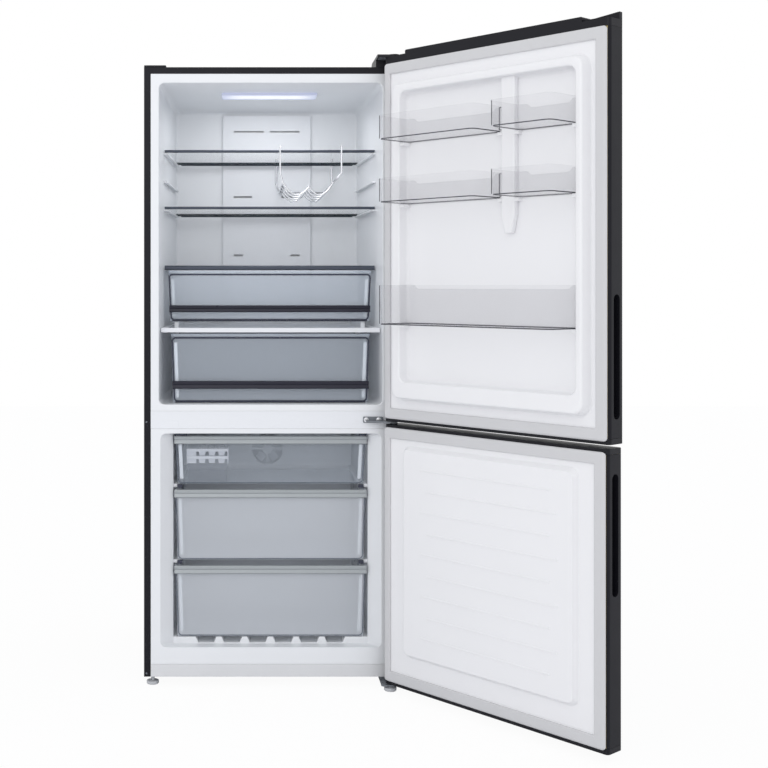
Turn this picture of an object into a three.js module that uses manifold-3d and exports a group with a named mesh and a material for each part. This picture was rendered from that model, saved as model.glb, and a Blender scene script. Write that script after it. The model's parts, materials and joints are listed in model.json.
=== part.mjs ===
// Bottom freezer refrigerator with both doors swung open.
// Millimetres. X runs to the right, Y goes back into the cabinet and Z is up.
// Every piece is drawn in cabinet coordinates: X = 0 is the middle of the cabinet, Y = 0 its front
// face and Z = 0 the floor. Doors are drawn closed, in groups that turn on their hinge line.

import * as THREE from "three";
import { mergeVertices } from "three/addons/utils/BufferGeometryUtils.js";
import Module from "manifold-3d";

const wasm = await Module();
wasm.setup();

// ---------------------------------------------------------------- driving dimensions

// cabinet
const cabinetWidth = 702;
const cabinetDepth = 625;
const cabinetTop = 1712;
const cabinetBottom = 24.7;
const steelSheet = 1.2;
const roundSides = 16; // flat sides of a turned piece
const shellReturn = 18.3; // folded front edge of the steel wrapper
const linerWall = 2;
const fit = 0.3; // gap between neighbouring fixed pieces
const slideGap = 0.5; // gap under a piece that slides or lifts off
const arcSteps = 3; // straight steps in a quarter of a round corner
const discSteps = 8; // straight steps in a quarter of a disc of the fan

// front frame between and below the compartments
const mullionLow = 711.3;
const mullionHeight = 48.7;
const kickHeight = 34.6;
const kickThickness = 3;
const padWidth = 56; // pad over the unused hinge seat
const padHeight = 21.4;

// fridge compartment
const fridgeSideWall = 41.4;
const fridgeSideTaper = 19.8;
const fridgeFloorRise = 18; // from the cover strip's top
const fridgeTopWall = 44;
const fridgeCeilingDrop = 8.6;
const compartmentDepth = 540;
const linerCorner = 16;

// freezer compartment
const freezerMouthWall = 44.8;
const freezerMouthSlope = 34.2; // how far the side walls step in behind the mouth
const freezerMouthDepth = 40;
const freezerSideTaper = 6;
const freezerInnerCorner = 6;
const freezerLipRise = 46.7; // floor at the mouth, above the lower rail
const freezerFloorRise = 18.3; // floor behind the mouth, above the floor at the mouth
const freezerTopWall = 13.3;
const freezerCeilingStep = 5;
const freezerStepLead = 40; // how far before the machine compartment the floor steps up
const freezerStepWall = 42; // insulation over the machine compartment
const floorChannels = 6;
const channelPitch = 72;
const channelTopWidth = 58;
const channelBottomWidth = 44;
const channelLength = 300;

// machine compartment
const machineDepth = 200;
const machineCeiling = 250;
const compressorRadius = 68;
const compressorHeight = 150;
const compressorX = -130;
const compressorFoot = 4;
const compressorSides = 18;
const compressorOutline = [ // radius and height of the can's corners, as shares of its own
  [0.8, 0],
  [0.96, 0.12],
  [1, 0.4],
  [1, 0.55],
  [0.9, 0.82],
  [0.6, 0.95],
];
const compressorPlateReach = 14; // beyond the can, at each side
const compressorPlateInset = 7; // from the can's front and back
const compressorPlateRound = 20;
const deckSheet = 2;
const rearPadRadius = 20;
const ventSlots = 8;
const ventSlotLength = 120;
const ventSlotHeight = 7;

// cold air parts
const ductHalfWidth = 139.5;
const ductTopGap = 20.2; // from the fridge's ceiling
const ductLowGap = 22; // from the fridge's floor
const ductDepth = 12;
const ductWall = 2.5;
const ductCorner = 8;
const ductSlotHeight = 6;
const ductSlotOuter = 104.5;
const ductSlots = [ // height as a share of the shelf space, and where each slot starts
  [0.8583, 10],
  [0.4455, 47],
  [0.0759, 76],
];
const freezerDuctSetback = 112; // from the back of the compartment
const freezerDuctDepth = 10;
const fanRadius = 46;
const fanDrop = 98; // from the freezer's ceiling
const fanDepth = 14;
const fanBlades = 5;
const fanBladeThickness = 2;
const fanBladeWidth = 28;
const fanBladeSlant = 26; // degrees
const fanBoreDepth = 10.5;
const fanHubRadius = 16;
const fanAxle = 3;
const fanGap = 7;
const coilFins = 9;
const coilHalfWidth = 200;
const coilDepth = 55;
const coilHeight = 170;
const coilBars = 3;
const coilBarHalfHeight = 6;
const coilBarDepth = 16.5;
const coilFinHalfThickness = 1;
const lampHalfWidth = 138;
const lampFront = 153;
const lampBack = 246;
const lampThickness = 6;
const lampCorner = 6;

// shelves: heights are shares of the space between the crispers' glass cover and the ceiling
const shelfOneShare = 0.6594;
const shelfTwoShare = 0.3362;
const spareLevelShare = 0.4972;
const shelfFront = 128;
const shelfRearGap = 25; // to the back of the compartment
const shelfSideClearance = 3.2;
const glassThickness = 4;
const trimGrip = 9; // how deep the glass sits in a trim
const trimHeight = 7.2;
const trimDepth = 13;
const trimNoseShare = 0.25; // of a trim's height
const coverTrimHeight = 13;
const railWidth = 12;
const railHeight = 5;
const railStart = 4; // from the shelf's front edge

// white cover of the lower crisper
const lowerCoverRise = 211; // from the fridge's floor
const lowerCoverHeight = 12.4;
const lowerCoverFront = 30;
const lowerCoverRim = 12;
const lowerCoverTray = 4;
const runnerInset = 27; // from the upper tub's side to a runner's middle
const runnerWidth = 12;

// bottle rack: heights are shares of the distance between the two shelves
const rackLeft = 30;
const rackRight = 206;
const rackHook = 9; // rise of the hook over the trim
const rackBendShare = 0.4096;
const rackEndShare = 0.5818;
const rackPeakShare = 0.6556;
const rackSagShare = 0.9754;
const rackLeftEnd = 38;
const rackRightEnd = 181;
const rackPeakX = 112;
const rackWire = 2;
const rackWireSides = 6;
const rackWireSteps = 6;
const rackCradles = 4;
const rackLastCradle = 410;

// crispers
const tubWall = 2.5;
const upperTubSideGap = 14.6; // to the compartment's side wall at its mouth
const upperTubHeight = 146;
const upperTubRise = 15; // from the lower crisper's cover
const upperTubHeadroom = 14.8; // to the top of the glass cover's trim
const upperTubBackGap = 62; // to the back of the compartment
const lowerTubSideGap = 28.1;
const lowerTubHeadroom = 4.4; // to the underside of its cover
const lowerTubFront = 42;
const lowerTubBackGap = 62;
const tubTaper = 7;
const tubCorner = 14;
const upperGripRise = 27; // from the tub's bottom
const upperGripHeight = 19.6;
const lowerGripRise = 40.1;
const lowerGripHeight = 21.6;
const gripDepth = 6.5;

// section of a pull band, as shares of its depth and height
const bandEdgeDepth = 0.3;
const bandLowEdge = 0.12;
const bandTopEdge = 0.1;
const bandHollowDepth = 0.35;
const bandHollowLow = 0.5;
const bandHollowTop = 0.62;

// freezer drawers, from the top down
const drawerShares = [0.2415, 0.377, 0.3815]; // of the stack's height
const drawerSideGap = 3.5;
const drawerFront = 35;
const drawerBackGap = 13; // to the evaporator's cover
const bottomDrawerBackGap = 23; // to the step in the floor
const drawerTopGap = 10.4;
const drawerGap = 14;
const drawerBandHeight = 22.8;
const drawerBandDepth = 7;
const drawerNarrowing = 5; // at each side, from front to back
const ledgeWidth = 22;
const ledgeHeight = 9;

// ice maker in the top drawer
const iceSideGap = 33.5; // to the drawer's side
const iceWidth = 117;
const iceFront = 52;
const iceLength = 230;
const iceBoxHeight = 52;
const iceBoxTaper = 4;
const iceBoxCorner = 8;
const iceTierHeight = 21;
const iceTrayFlange = 8;
const iceSide = 2.5; // side plates that carry both tiers
const iceKnobWidth = 30; // closed block beside the cells
const iceColumns = 3;
const iceRows = 5;
const iceWeb = 6;
const iceDraft = 3;
const iceWall = 1.2;

// doors
const doorThickness = 68;
const doorBackGap = 9; // from the cabinet's front face to the back of the door pan
const doorEdgeRound = 9;
const doorReturn = 6;
const doorGap = 9; // between the two doors
const doorOverlap = 16.9; // rise of the lower door over the cover strip's lower edge
const lowerDoorDrop = 5.4; // from the cabinet's bottom
const hingeInset = 14; // hinge line from the cabinet's side
const hingeForward = 32; // hinge line from the cabinet's front face
const upperOpenAngle = 131;
const lowerOpenAngle = 130.5;
const capHeight = 14;
const topCapRise = 37; // highest corner of the upper door over the cabinet's top
const topCapShoulderRise = 19;
const topCapPlateauRise = 31;
const topCapRimDepth = 18;
const topCapShoulderWidth = 74;
const topCapPeakWidth = 66; // of the slope up to the highest corner, on the free side
const topCapPlateauRound = 4;
const gasketInset = 5;
const gasketWidth = 29;
const gasketHingeWidth = 21;
const gasketSeal = 0.5; // gasket face to the cabinet when closed
const gasketThickness = 6.2;
const gasketRound = 1.5;
const gasketChamfer = 4.5; // outer edge of the sealing face, clear of the cabinet as the door swings
const upperGasketInset = 6; // from the door's lower edge
const lowerGasketInset = 7; // from the door's upper edge
const lowerGasketDrop = 10.7; // from the door's lower edge
const gripRecessDepth = 18;
const gripRecessFront = 51;
const gripRecessBack = 26;
const gripRecessWall = 1.5;
const gripRecessRound = 12;
const upperGripInset = 58; // from the upper door's lower edge
const upperGripLength = 292;
const lowerGripInset = 60; // from the lower door's upper edge
const lowerGripLength = 286;

// inner face of the upper door
const dikeReach = 25; // how far the raised border reaches into the cabinet
const dikeClearance = 6.6; // to the fridge's side walls
const dikeDraft = 5;
const dikeRound = 30;
const dikeLowGap = 22;
const dikeTopGap = 16;
const dikeHingeWidth = 35.7;
const dikeFreeWidth = 23.5;
const dikeLowHeight = 50;
const dikeTopHeight = 27;
const bayRound = 20;
const postHingeSide = -55;
const postFreeSide = -96;
const postReach = 10;
const postLowShare = 0.1455; // of the shelf space
const postTaper = 44;
const postTaperInset = 10;

// door bins: heights of the upper ones are shares of the shelf space
const binReach = 117;
const binSideGap = 2.5;
const binWall = 2.2;
const binRound = 16;
const binDraft = 4;
const topBinShare = 0.6463;
const middleBinShare = 0.3184;
const bottomBinRise = 227; // from the fridge's floor
const smallBinHeight = 63.5;
const bottomBinHeight = 104;
const binDip = 10; // how far the back wall is lower than the ears at its ends
const binEarWidth = 22;
const binDipRun = 16; // length of the curve from an ear down to the back wall
const binDipSteps = 5;
const lugWidth = 9;
const lugHeight = 9;
const lugReach = 20;

// inner face of the lower door
const plugReach = 7;
const plugHingeGap = 30.2; // to the freezer mouth's side
const plugFreeGap = 34.2;
const plugLowGap = 6;
const plugTopGap = 22;
const plugDraft = 10;
const plugRound = 22;
const plugRibs = 9;
const plugRibMargin = 60; // from the panel's lower and upper edge
const plugRibHeight = 5;
const plugRibProud = 1.5;
const plugRibRight = 209;
const plugRibLeft = -200;
const plugRibStagger = 22;

// hinges, covers and feet
const pinRadius = 5;
const pinClearance = 0.6;
const hingePlate = 4;
const topHingeWidth = 40;
const hingeNose = 13;
const topHingeBack = 115;
const topHingeFoot = 60;
const topHingeSlant = 18; // length of the slanted rise
const topHingeFront = 10; // how far the arm stays level behind the door's back
const coverWidth = 60;
const coverHeadroom = 9; // over the shoulder of the upper door's top cap
const coverBack = 135;
const coverWall = 2;
const coverChamferShare = 0.5; // of the height of its front edge
const coverTail = 14; // height of its rear end
const coverTailLength = 30;
const cornerCapWidth = 61;
const cornerCapDepth = 60;
const cornerCapHeight = 5;
const cornerCapRound = 4;
const middlePlateWidth = 56;
const middlePlateInset = 40; // from the cabinet's side
const middlePlateDrop = 5; // from the middle of the gap between the doors
const middlePlateThickness = 3;
const armThickness = 4;
const armInset = 8;
const armEye = 8; // reach of the arm round its pins
const armEyeFront = 10;
const footRadius = 17;
const footDisc = 9;
const footStud = 5;
const footBevel = 2;
const leftFootX = -328;
const leftFootY = 22;
const rightFootX = 326;
const rightFootY = -40;
const bottomPlateDrop = 6.7; // from the cabinet's bottom
const bottomPlateThickness = 4;
const bottomPlateReach = 50; // from the cabinet's side
const bottomPlateInset = 6;
const bottomPlateBack = 60;
const bottomPlateFront = 52;
const bottomPinReach = 11.7; // into the lower door

// ---------------------------------------------------------------- values worked out from them

// across
const halfWidth = cabinetWidth / 2;
const shelfRear = compartmentDepth - shelfRearGap;
const upperTubBack = compartmentDepth - upperTubBackGap;
const lowerTubBack = compartmentDepth - lowerTubBackGap;
const freezerDuctFront = compartmentDepth - freezerDuctSetback;
const drawerBack = freezerDuctFront - drawerBackGap;
const machineFront = cabinetDepth - machineDepth;
const freezerStepDepth = machineFront - freezerStepLead;
const bottomDrawerBack = freezerStepDepth - bottomDrawerBackGap;
const middlePlateRight = halfWidth - middlePlateInset;
const middlePlateLeft = middlePlateRight - middlePlateWidth;
const bottomPlateLeft = halfWidth - bottomPlateReach;
const fridgeHalf = halfWidth - fridgeSideWall;
const freezerMouthHalf = halfWidth - freezerMouthWall;
const freezerInnerHalf = freezerMouthHalf - freezerMouthSlope;
const upperTubHalf = fridgeHalf - upperTubSideGap;
const lowerTubHalf = fridgeHalf - lowerTubSideGap;
const runnerX = upperTubHalf - runnerInset;
const drawerHalf = freezerInnerHalf - drawerSideGap;
const iceLeft = iceSideGap - drawerHalf;
const hingeX = halfWidth - hingeInset;
const hingeY = -hingeForward;
const flangeHalf = halfWidth - shellReturn - fit;
const doorFace = -doorThickness;
const doorBack = -doorBackGap;
const linerFace = doorBack + linerWall;
const topCapPlateauHalf = halfWidth - topCapShoulderWidth;
const coverLeft = halfWidth - coverWidth;

// heights of the cabinet
const flangeTop = cabinetTop - shellReturn - fit;
const kickTop = cabinetBottom + kickHeight;
const mullionHigh = mullionLow + mullionHeight;
const fridgeFloor = mullionHigh + fridgeFloorRise;
const fridgeCeiling = cabinetTop - fridgeTopWall;
const freezerLip = kickTop + freezerLipRise;
const freezerFloor = freezerLip + freezerFloorRise;
const freezerCeiling = mullionLow - freezerTopWall;
const freezerStepHeight = machineCeiling + freezerStepWall;
const fanHeight = freezerCeiling - fanDrop;

// heights of what stands in the fridge
const lowerCoverTop = fridgeFloor + lowerCoverRise;
const lowerTubTop = lowerCoverTop - lowerCoverHeight - lowerTubHeadroom;
const upperTubBottom = lowerCoverTop + upperTubRise;
const upperTubTop = upperTubBottom + upperTubHeight;
const coverTop = upperTubTop + upperTubHeadroom;
const shelfSpace = fridgeCeiling - coverTop;
const shelfOneTop = coverTop + shelfOneShare * shelfSpace;
const shelfTwoTop = coverTop + shelfTwoShare * shelfSpace;
const spareLevelTop = coverTop + spareLevelShare * shelfSpace;
const shelfPitch = shelfOneTop - shelfTwoTop;

// heights of the doors
const upperDoorHigh = cabinetTop + topCapRise;
const upperPanTop = cabinetTop;
const topCapShoulder = cabinetTop + topCapShoulderRise;
const topCapPlateau = cabinetTop + topCapPlateauRise;
const coverHigh = topCapShoulder + coverHeadroom;
const lowerDoorLow = cabinetBottom - lowerDoorDrop;
const lowerDoorHigh = mullionLow + doorOverlap;
const upperDoorLow = lowerDoorHigh + doorGap;
const doorGapMiddle = lowerDoorHigh + doorGap / 2;
const upperGasket = [upperDoorLow + upperGasketInset, upperPanTop];
const lowerGasket = [lowerDoorLow + lowerGasketDrop, lowerDoorHigh - lowerGasketInset];
const middlePlateHigh = upperGasket[0] + gasketChamfer + gasketSeal / 2 - middlePlateThickness - fit;
const upperRecess = [upperDoorLow + upperGripInset, upperDoorLow + upperGripInset + upperGripLength];
const lowerRecess = [lowerDoorHigh - lowerGripInset - lowerGripLength, lowerDoorHigh - lowerGripInset];
const bottomPlateHigh = cabinetBottom - bottomPlateDrop;

// inner faces of the doors
const dikeHalf = fridgeHalf - dikeClearance;
const dikeLow = fridgeFloor + dikeLowGap;
const dikeHigh = fridgeCeiling - dikeTopGap;
const bayHingeSide = dikeHalf - dikeHingeWidth;
const bayFreeSide = dikeHalf - dikeFreeWidth;
const bayLow = dikeLow + dikeLowHeight;
const bayHigh = dikeHigh - dikeTopHeight;
const postLow = coverTop + postLowShare * shelfSpace;
const plugLow = freezerLip + plugLowGap;
const plugHigh = freezerCeiling - plugTopGap;
const plugHingeSide = freezerMouthHalf - plugHingeGap;
const plugFreeSide = freezerMouthHalf - plugFreeGap;

// ---------------------------------------------------------------- finishes

const finish = (color, roughness, metalness = 0, opacity = 1) =>
  ({ color, roughness, metalness, opacity });
const finishes = {
  blackSteel: finish(0x2c2e31, 0.35, 0.5),
  blackPlastic: finish(0x26282b, 0.5),
  whitePlastic: finish(0xe9eaee, 0.45),
  kickPlastic: finish(0xd6d9dc, 0.5),
  foam: finish(0xe6d9a8, 0.95),
  zincSteel: finish(0xa7abaf, 0.4, 0.9),
  greyPaint: finish(0x8f9499, 0.5, 0.4),
  compressorBlack: finish(0x17181a, 0.45, 0.3),
  aluminium: finish(0xc3c7cb, 0.4, 0.9),
  lamp: finish(0xf4f8ff, 0.3),
  glass: finish(0xcfe0e4, 0.08, 0, 0.35),
  darkTrim: finish(0x454a52, 0.35, 0.6),
  chromeWire: finish(0xd9dde2, 0.2, 0.9),
  clearTub: finish(0xb9c0cc, 0.15, 0, 0.45),
  navyBand: finish(0x27303f, 0.4),
  satinBand: finish(0x9aa0a6, 0.35, 0.6),
  greyTub: finish(0x8d939c, 0.2, 0, 0.5),
  iceWhite: finish(0xe4e6ec, 0.45),
  smokyBin: finish(0x8b929c, 0.12, 0, 0.5),
  gasketGrey: finish(0xb9bdc4, 0.7),
  footGrey: finish(0xc9cbce, 0.6),
};

// ---------------------------------------------------------------- solids

/** A manifold solid from a closed three.js geometry. */
function solid(geometry) {
  const plain = geometry.clone();
  plain.deleteAttribute("normal");
  plain.deleteAttribute("uv");
  const merged = mergeVertices(plain, 1e-4);
  return new wasm.Manifold(new wasm.Mesh({
    numProp: 3,
    vertProperties: new Float32Array(merged.attributes.position.array),
    triVerts: new Uint32Array(merged.index.array),
  }));
}

/** A three.js geometry from a manifold solid. */
function geometryOf(body) {
  const mesh = body.getMesh();
  const geometry = new THREE.BufferGeometry();
  geometry.setAttribute("position", new THREE.BufferAttribute(new Float32Array(mesh.vertProperties), 3));
  geometry.setIndex(new THREE.BufferAttribute(new Uint32Array(mesh.triVerts), 1));
  return geometry;
}

/** All the solids of a list joined into one. */
const joined = (bodies) => bodies.reduce((all, body) => all.add(body));

/** A flat outline: a rectangle with round corners, or square ones when the radius is 0. */
function roundedShape([left, right], [low, high], radius = 0) {
  const shape = new THREE.Shape();
  if (radius <= 0) {
    shape.moveTo(left, low).lineTo(right, low).lineTo(right, high).lineTo(left, high).closePath();
    return shape;
  }
  shape.absarc(right - radius, low + radius, radius, -Math.PI / 2, 0);
  shape.absarc(right - radius, high - radius, radius, 0, Math.PI / 2);
  shape.absarc(left + radius, high - radius, radius, Math.PI / 2, Math.PI);
  shape.absarc(left + radius, low + radius, radius, Math.PI, 1.5 * Math.PI);
  return shape;
}

/** A flat outline through points with straight sides. */
const polygon = (points) => new THREE.Shape(points.map(([u, v]) => new THREE.Vector2(u, v)));

const extrudeFrames = {
  x: new THREE.Matrix4().makeBasis(
    new THREE.Vector3(0, 1, 0), new THREE.Vector3(0, 0, 1), new THREE.Vector3(1, 0, 0)),
  y: new THREE.Matrix4().makeBasis(
    new THREE.Vector3(1, 0, 0), new THREE.Vector3(0, 0, 1), new THREE.Vector3(0, -1, 0)),
  z: new THREE.Matrix4(),
};

/**
 * An outline pushed along one axis, from start to end.
 * The outline's plane is (Y, Z) for axis x, (X, Z) for axis y and (X, Y) for axis z.
 */
function extruded(shape, axis, [start, end], steps = arcSteps) {
  const geometry = new THREE.ExtrudeGeometry(shape, {
    depth: end - start,
    bevelEnabled: false,
    curveSegments: steps,
  });
  geometry.applyMatrix4(extrudeFrames[axis]);
  const shift = new THREE.Vector3(...["x", "y", "z"].map((name) => {
    const from = name === "y" ? end : start;
    return name === axis ? from : 0;
  }));
  geometry.translate(shift.x, shift.y, shift.z);
  return solid(geometry);
}

/** A block with round corners about one axis. */
function slab(x, y, z, radius = 0, axis = "z") {
  const planes = { x: [y, z, x], y: [x, z, y], z: [x, y, z] };
  const [across, up, along] = planes[axis];
  return extruded(roundedShape(across, up, radius), axis, along);
}

/** The corners of a rounded rectangle as a ring of points in the plane across the named axis. */
function ring(axis, place, across, up, radius) {
  const outline = roundedShape(across, up, radius).extractPoints(arcSteps).shape;
  const set = (u, v) => (axis === "y" ? new THREE.Vector3(u, place, v) : new THREE.Vector3(u, v, place));
  return outline.map((point) => set(point.x, point.y));
}

/** A closed solid through rings of equally many points. */
function loft(rings) {
  const count = rings[0].length;
  const last = (rings.length - 1) * count;
  const faces = [];
  for (let level = 0; level < last; level += count) {
    for (let i = 0; i < count; i += 1) {
      const here = level + i;
      const next = level + (i + 1) % count;
      faces.push(here, next, next + count, here, next + count, here + count);
    }
  }
  for (let i = 1; i + 1 < count; i += 1) {
    faces.push(0, i + 1, i, last, last + i, last + i + 1);
  }
  const corners = rings.flat();
  const volume = faces.reduce((sum, corner, i) => {
    if (i % 3 !== 0) return sum;
    const [a, b, c] = [corners[corner], corners[faces[i + 1]], corners[faces[i + 2]]];
    return sum + a.dot(b.clone().cross(c));
  }, 0);
  const geometry = new THREE.BufferGeometry().setFromPoints(corners);
  geometry.setIndex(volume > 0 ? faces : faces.reverse());
  return solid(geometry);
}

/** A solid turned about a vertical line through (x, y), from (radius, height) corners. */
function turned(profile, x, y, sides = roundSides) {
  const geometry = new THREE.LatheGeometry(profile.map(([r, h]) => new THREE.Vector2(r, h)), sides);
  geometry.rotateX(Math.PI / 2);
  geometry.translate(x, y, 0);
  return solid(geometry);
}

/** An upright pin. */
const pin = (x, y, [low, high], radius, sides = roundSides) =>
  turned([[0, low], [radius, low], [radius, high], [0, high]], x, y, sides);

/** A round wire along a curve. */
function wire(curve, steps, radius = rackWire, sides = rackWireSides) {
  const corners = Array.from({ length: sides }, (_, i) => {
    const angle = i * 2 * Math.PI / sides;
    return new THREE.Vector2(radius * Math.cos(angle), radius * Math.sin(angle));
  });
  const outline = new THREE.Shape(corners);
  return solid(new THREE.ExtrudeGeometry(outline, { extrudePath: curve, steps, bevelEnabled: false }));
}

const point = (x, y, z) => new THREE.Vector3(x, y, z);
const straight = (from, to) => wire(new THREE.LineCurve3(from, to), 1);

// ---------------------------------------------------------------- assembly helpers

const refrigerator = new THREE.Group();

/** Adds a named piece to a group. */
function addPiece(group, name, body, look) {
  const material = new THREE.MeshStandardMaterial({
    color: look.color,
    roughness: look.roughness,
    metalness: look.metalness,
    opacity: look.opacity,
    transparent: look.opacity < 1,
  });
  const mesh = new THREE.Mesh(geometryOf(body), material);
  mesh.name = name;
  group.add(mesh);
}

// ---------------------------------------------------------------- compartments

/** Half width of the fridge compartment at a depth. */
const fridgeHalfAt = (y) => fridgeHalf - fridgeSideTaper * y / compartmentDepth;
const fridgeCeilingAt = (y) => fridgeCeiling - fridgeCeilingDrop * y / compartmentDepth;
/** Top of the glass that sits in the middle of a trim. */
const glassTopOf = (top, height) => top - (height - glassThickness) / 2;

/** Name, heights and back of each freezer drawer, from the top down. */
const drawers = drawerShares.map((share, i) => {
  const stack = [freezerFloor + slideGap, freezerCeiling - drawerTopGap];
  const height = stack[1] - stack[0];
  const above = drawerShares.slice(0, i).reduce((sum, part) => sum + part, 0);
  const top = stack[1] - above * height;
  return {
    name: `freezer_drawer_${i + 1}`,
    low: Math.max(top - share * height, stack[0]),
    high: i === 0 ? top : top - drawerGap,
    back: i === drawerShares.length - 1 ? bottomDrawerBack : drawerBack,
  };
});

/** The fridge space, grown outwards by a wall. */
function fridgeSpace(grow, front = 0) {
  const section = (y, place) => {
    const half = fridgeHalfAt(y) + grow;
    const heights = [fridgeFloor - grow, fridgeCeilingAt(y) + grow];
    return ring("y", place, [-half, half], heights, linerCorner + grow);
  };
  return loft([section(front, front), section(compartmentDepth, compartmentDepth + grow)]);
}

/** The freezer space, grown outwards by a wall, with its floor stepped up at the back. */
function freezerSpace(grow, front = 0) {
  const section = (place, half, high, corner) =>
    ring("y", place, [-half - grow, half + grow], [freezerLip - grow, high + grow], corner + grow);
  const ceiling = freezerCeiling - freezerCeilingStep;
  const space = loft([
    section(front, freezerMouthHalf, freezerCeiling, linerCorner),
    section(freezerMouthDepth, freezerInnerHalf, ceiling, freezerInnerCorner),
    section(compartmentDepth + grow, freezerInnerHalf - freezerSideTaper, ceiling, freezerInnerCorner),
  ]);
  const step = slab([-halfWidth, halfWidth], [freezerStepDepth + grow, cabinetDepth],
    [0, freezerStepHeight - grow]);
  return space.subtract(step);
}

/** The steel wrapper: sides and top in one sheet, with a folded front edge. */
function cabinetShell() {
  const outer = slab([-halfWidth, halfWidth], [0, cabinetDepth], [cabinetBottom, cabinetTop]);
  const inside = halfWidth - steelSheet;
  const hollow = slab([-inside, inside], [steelSheet, cabinetDepth + fit],
    [cabinetBottom - fit, cabinetTop - steelSheet]);
  const opening = slab([-halfWidth + shellReturn, halfWidth - shellReturn], [-fit, cabinetDepth],
    [cabinetBottom - fit, cabinetTop - shellReturn]);
  return outer.subtract(hollow).subtract(opening);
}

/** Rails on both side walls, under the shelf levels: how high their tops are and where they start. */
function shelfRails() {
  const underTrim = (top) => top - trimHeight - fit;
  const underCover = glassTopOf(coverTop, coverTrimHeight) - glassThickness - fit;
  const levels = [
    [underTrim(shelfOneTop), shelfFront + railStart],
    [underTrim(spareLevelTop), shelfFront + railStart],
    [underTrim(shelfTwoTop), shelfFront + railStart],
    [underCover, shelfFront + trimDepth + fit],
    [lowerCoverTop - lowerCoverHeight - fit, shelfFront],
  ];
  const band = (inset) => {
    const section = (y) => {
      const half = fridgeHalfAt(y) + linerWall / 2 - inset;
      return ring("y", y, [-half, half], [fridgeFloor, fridgeCeiling], 0);
    };
    return loft([section(0), section(shelfRear)]);
  };
  const between = band(0).subtract(band(railWidth + linerWall / 2));
  return levels.map(([top, start]) =>
    between.intersect(slab([-halfWidth, halfWidth], [start, shelfRear], [top - railHeight, top])));
}

/** White moulded lining of the fridge, with its front flange and shelf rails. */
function fridgeLiner() {
  const flange = slab([-flangeHalf, flangeHalf], [0, linerWall], [mullionHigh + fit, flangeTop]);
  const lining = fridgeSpace(linerWall).add(flange).subtract(fridgeSpace(0, -fit));
  return joined([lining, ...shelfRails()]);
}

/** Trapezoid air channels in the freezer's floor. */
function floorChannelCuts() {
  const section = polygon([
    [-channelBottomWidth / 2, freezerLip + linerWall],
    [channelBottomWidth / 2, freezerLip + linerWall],
    [channelTopWidth / 2, freezerFloor + fit],
    [-channelTopWidth / 2, freezerFloor + fit],
  ]);
  const cuts = [];
  for (let i = 0; i < floorChannels; i += 1) {
    const cut = extruded(section, "y", [0, freezerMouthDepth + channelLength]);
    cuts.push(cut.translate([(i - (floorChannels - 1) / 2) * channelPitch, 0, 0]));
  }
  return joined(cuts);
}

/** White moulded lining of the freezer: ribbed floor, drawer ledges, and front flange. */
function freezerLiner() {
  const space = freezerSpace(0, -fit);
  const flange = slab([-flangeHalf, flangeHalf], [0, linerWall], [kickTop + fit, mullionLow - fit]);
  const lining = freezerSpace(linerWall).add(flange).subtract(space);
  const raised = slab([-halfWidth, halfWidth], [freezerMouthDepth, freezerStepDepth + fit],
    [freezerLip - fit, freezerFloor]);
  const floor = raised.intersect(freezerSpace(linerWall / 2)).subtract(floorChannelCuts());
  const inner = freezerInnerHalf - ledgeWidth;
  const ledges = [];
  for (const { low } of drawers.slice(0, -1)) {
    const level = [low - slideGap - ledgeHeight, low - slideGap];
    const across = slab([-halfWidth, halfWidth], [freezerMouthDepth + drawerBandDepth, drawerBack],
      level);
    const gap = slab([-inner, inner], [0, cabinetDepth], level);
    ledges.push(across.subtract(gap).intersect(freezerSpace(linerWall / 2)));
  }
  return joined([lining, floor, ...ledges]);
}

/** Foam that fills the walls between the wrapper and the linings. */
function cabinetFoam() {
  const side = halfWidth - steelSheet - fit;
  const block = slab([-side, side], [linerWall + steelSheet + fit, cabinetDepth - 2 * steelSheet - 2 * fit],
    [cabinetBottom + deckSheet + 2 * fit + steelSheet, cabinetTop - steelSheet - fit]);
  const machine = slab([-halfWidth, halfWidth], [machineFront - deckSheet - fit, cabinetDepth],
    [0, machineCeiling + deckSheet + fit]);
  const cut = linerWall + fit;
  return block
    .subtract(machine)
    .subtract(fridgeSpace(cut, -fit))
    .subtract(freezerSpace(cut, -fit));
}

/** Bent steel deck: floor, wall and roof of the machine compartment, and two rear pads. */
function baseDeck() {
  const low = cabinetBottom + steelSheet;
  const back = cabinetDepth - 2 * steelSheet - 2 * fit;
  const front = kickThickness + steelSheet + fit;
  const roof = machineCeiling;
  const profile = polygon([
    [front, low],
    [back, low],
    [back, low + deckSheet],
    [machineFront, low + deckSheet],
    [machineFront, roof],
    [back, roof],
    [back, roof + deckSheet],
    [machineFront - deckSheet, roof + deckSheet],
    [machineFront - deckSheet, low + deckSheet],
    [front, low + deckSheet],
  ]);
  const side = halfWidth - steelSheet - fit;
  const deck = extruded(profile, "x", [-side, side]);
  const padY = cabinetDepth - 2 * rearPadRadius;
  const pads = [-1, 1].map((sign) =>
    pin(sign * (halfWidth - 2 * rearPadRadius), padY, [0, low + deckSheet / 2], rearPadRadius));
  return joined([deck, ...pads]);
}

/** Rear sheet with air slots over the machine compartment. */
function backPanel() {
  const side = halfWidth - steelSheet - fit;
  const y = [cabinetDepth - 2 * steelSheet - fit, cabinetDepth - steelSheet - fit];
  const sheet = slab([-side, side], y, [cabinetBottom + steelSheet, cabinetTop - steelSheet - fit]);
  const pitch = (machineCeiling - cabinetBottom) / (ventSlots + 2);
  const slots = [];
  for (let row = 0; row < ventSlots; row += 1) {
    const low = cabinetBottom + pitch * (row + 1.5);
    for (const middle of [-halfWidth / 2, 0, halfWidth / 2]) {
      slots.push(slab([middle - ventSlotLength / 2, middle + ventSlotLength / 2],
        [0, cabinetDepth + fit], [low, low + ventSlotHeight]));
    }
  }
  return sheet.subtract(joined(slots));
}

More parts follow.
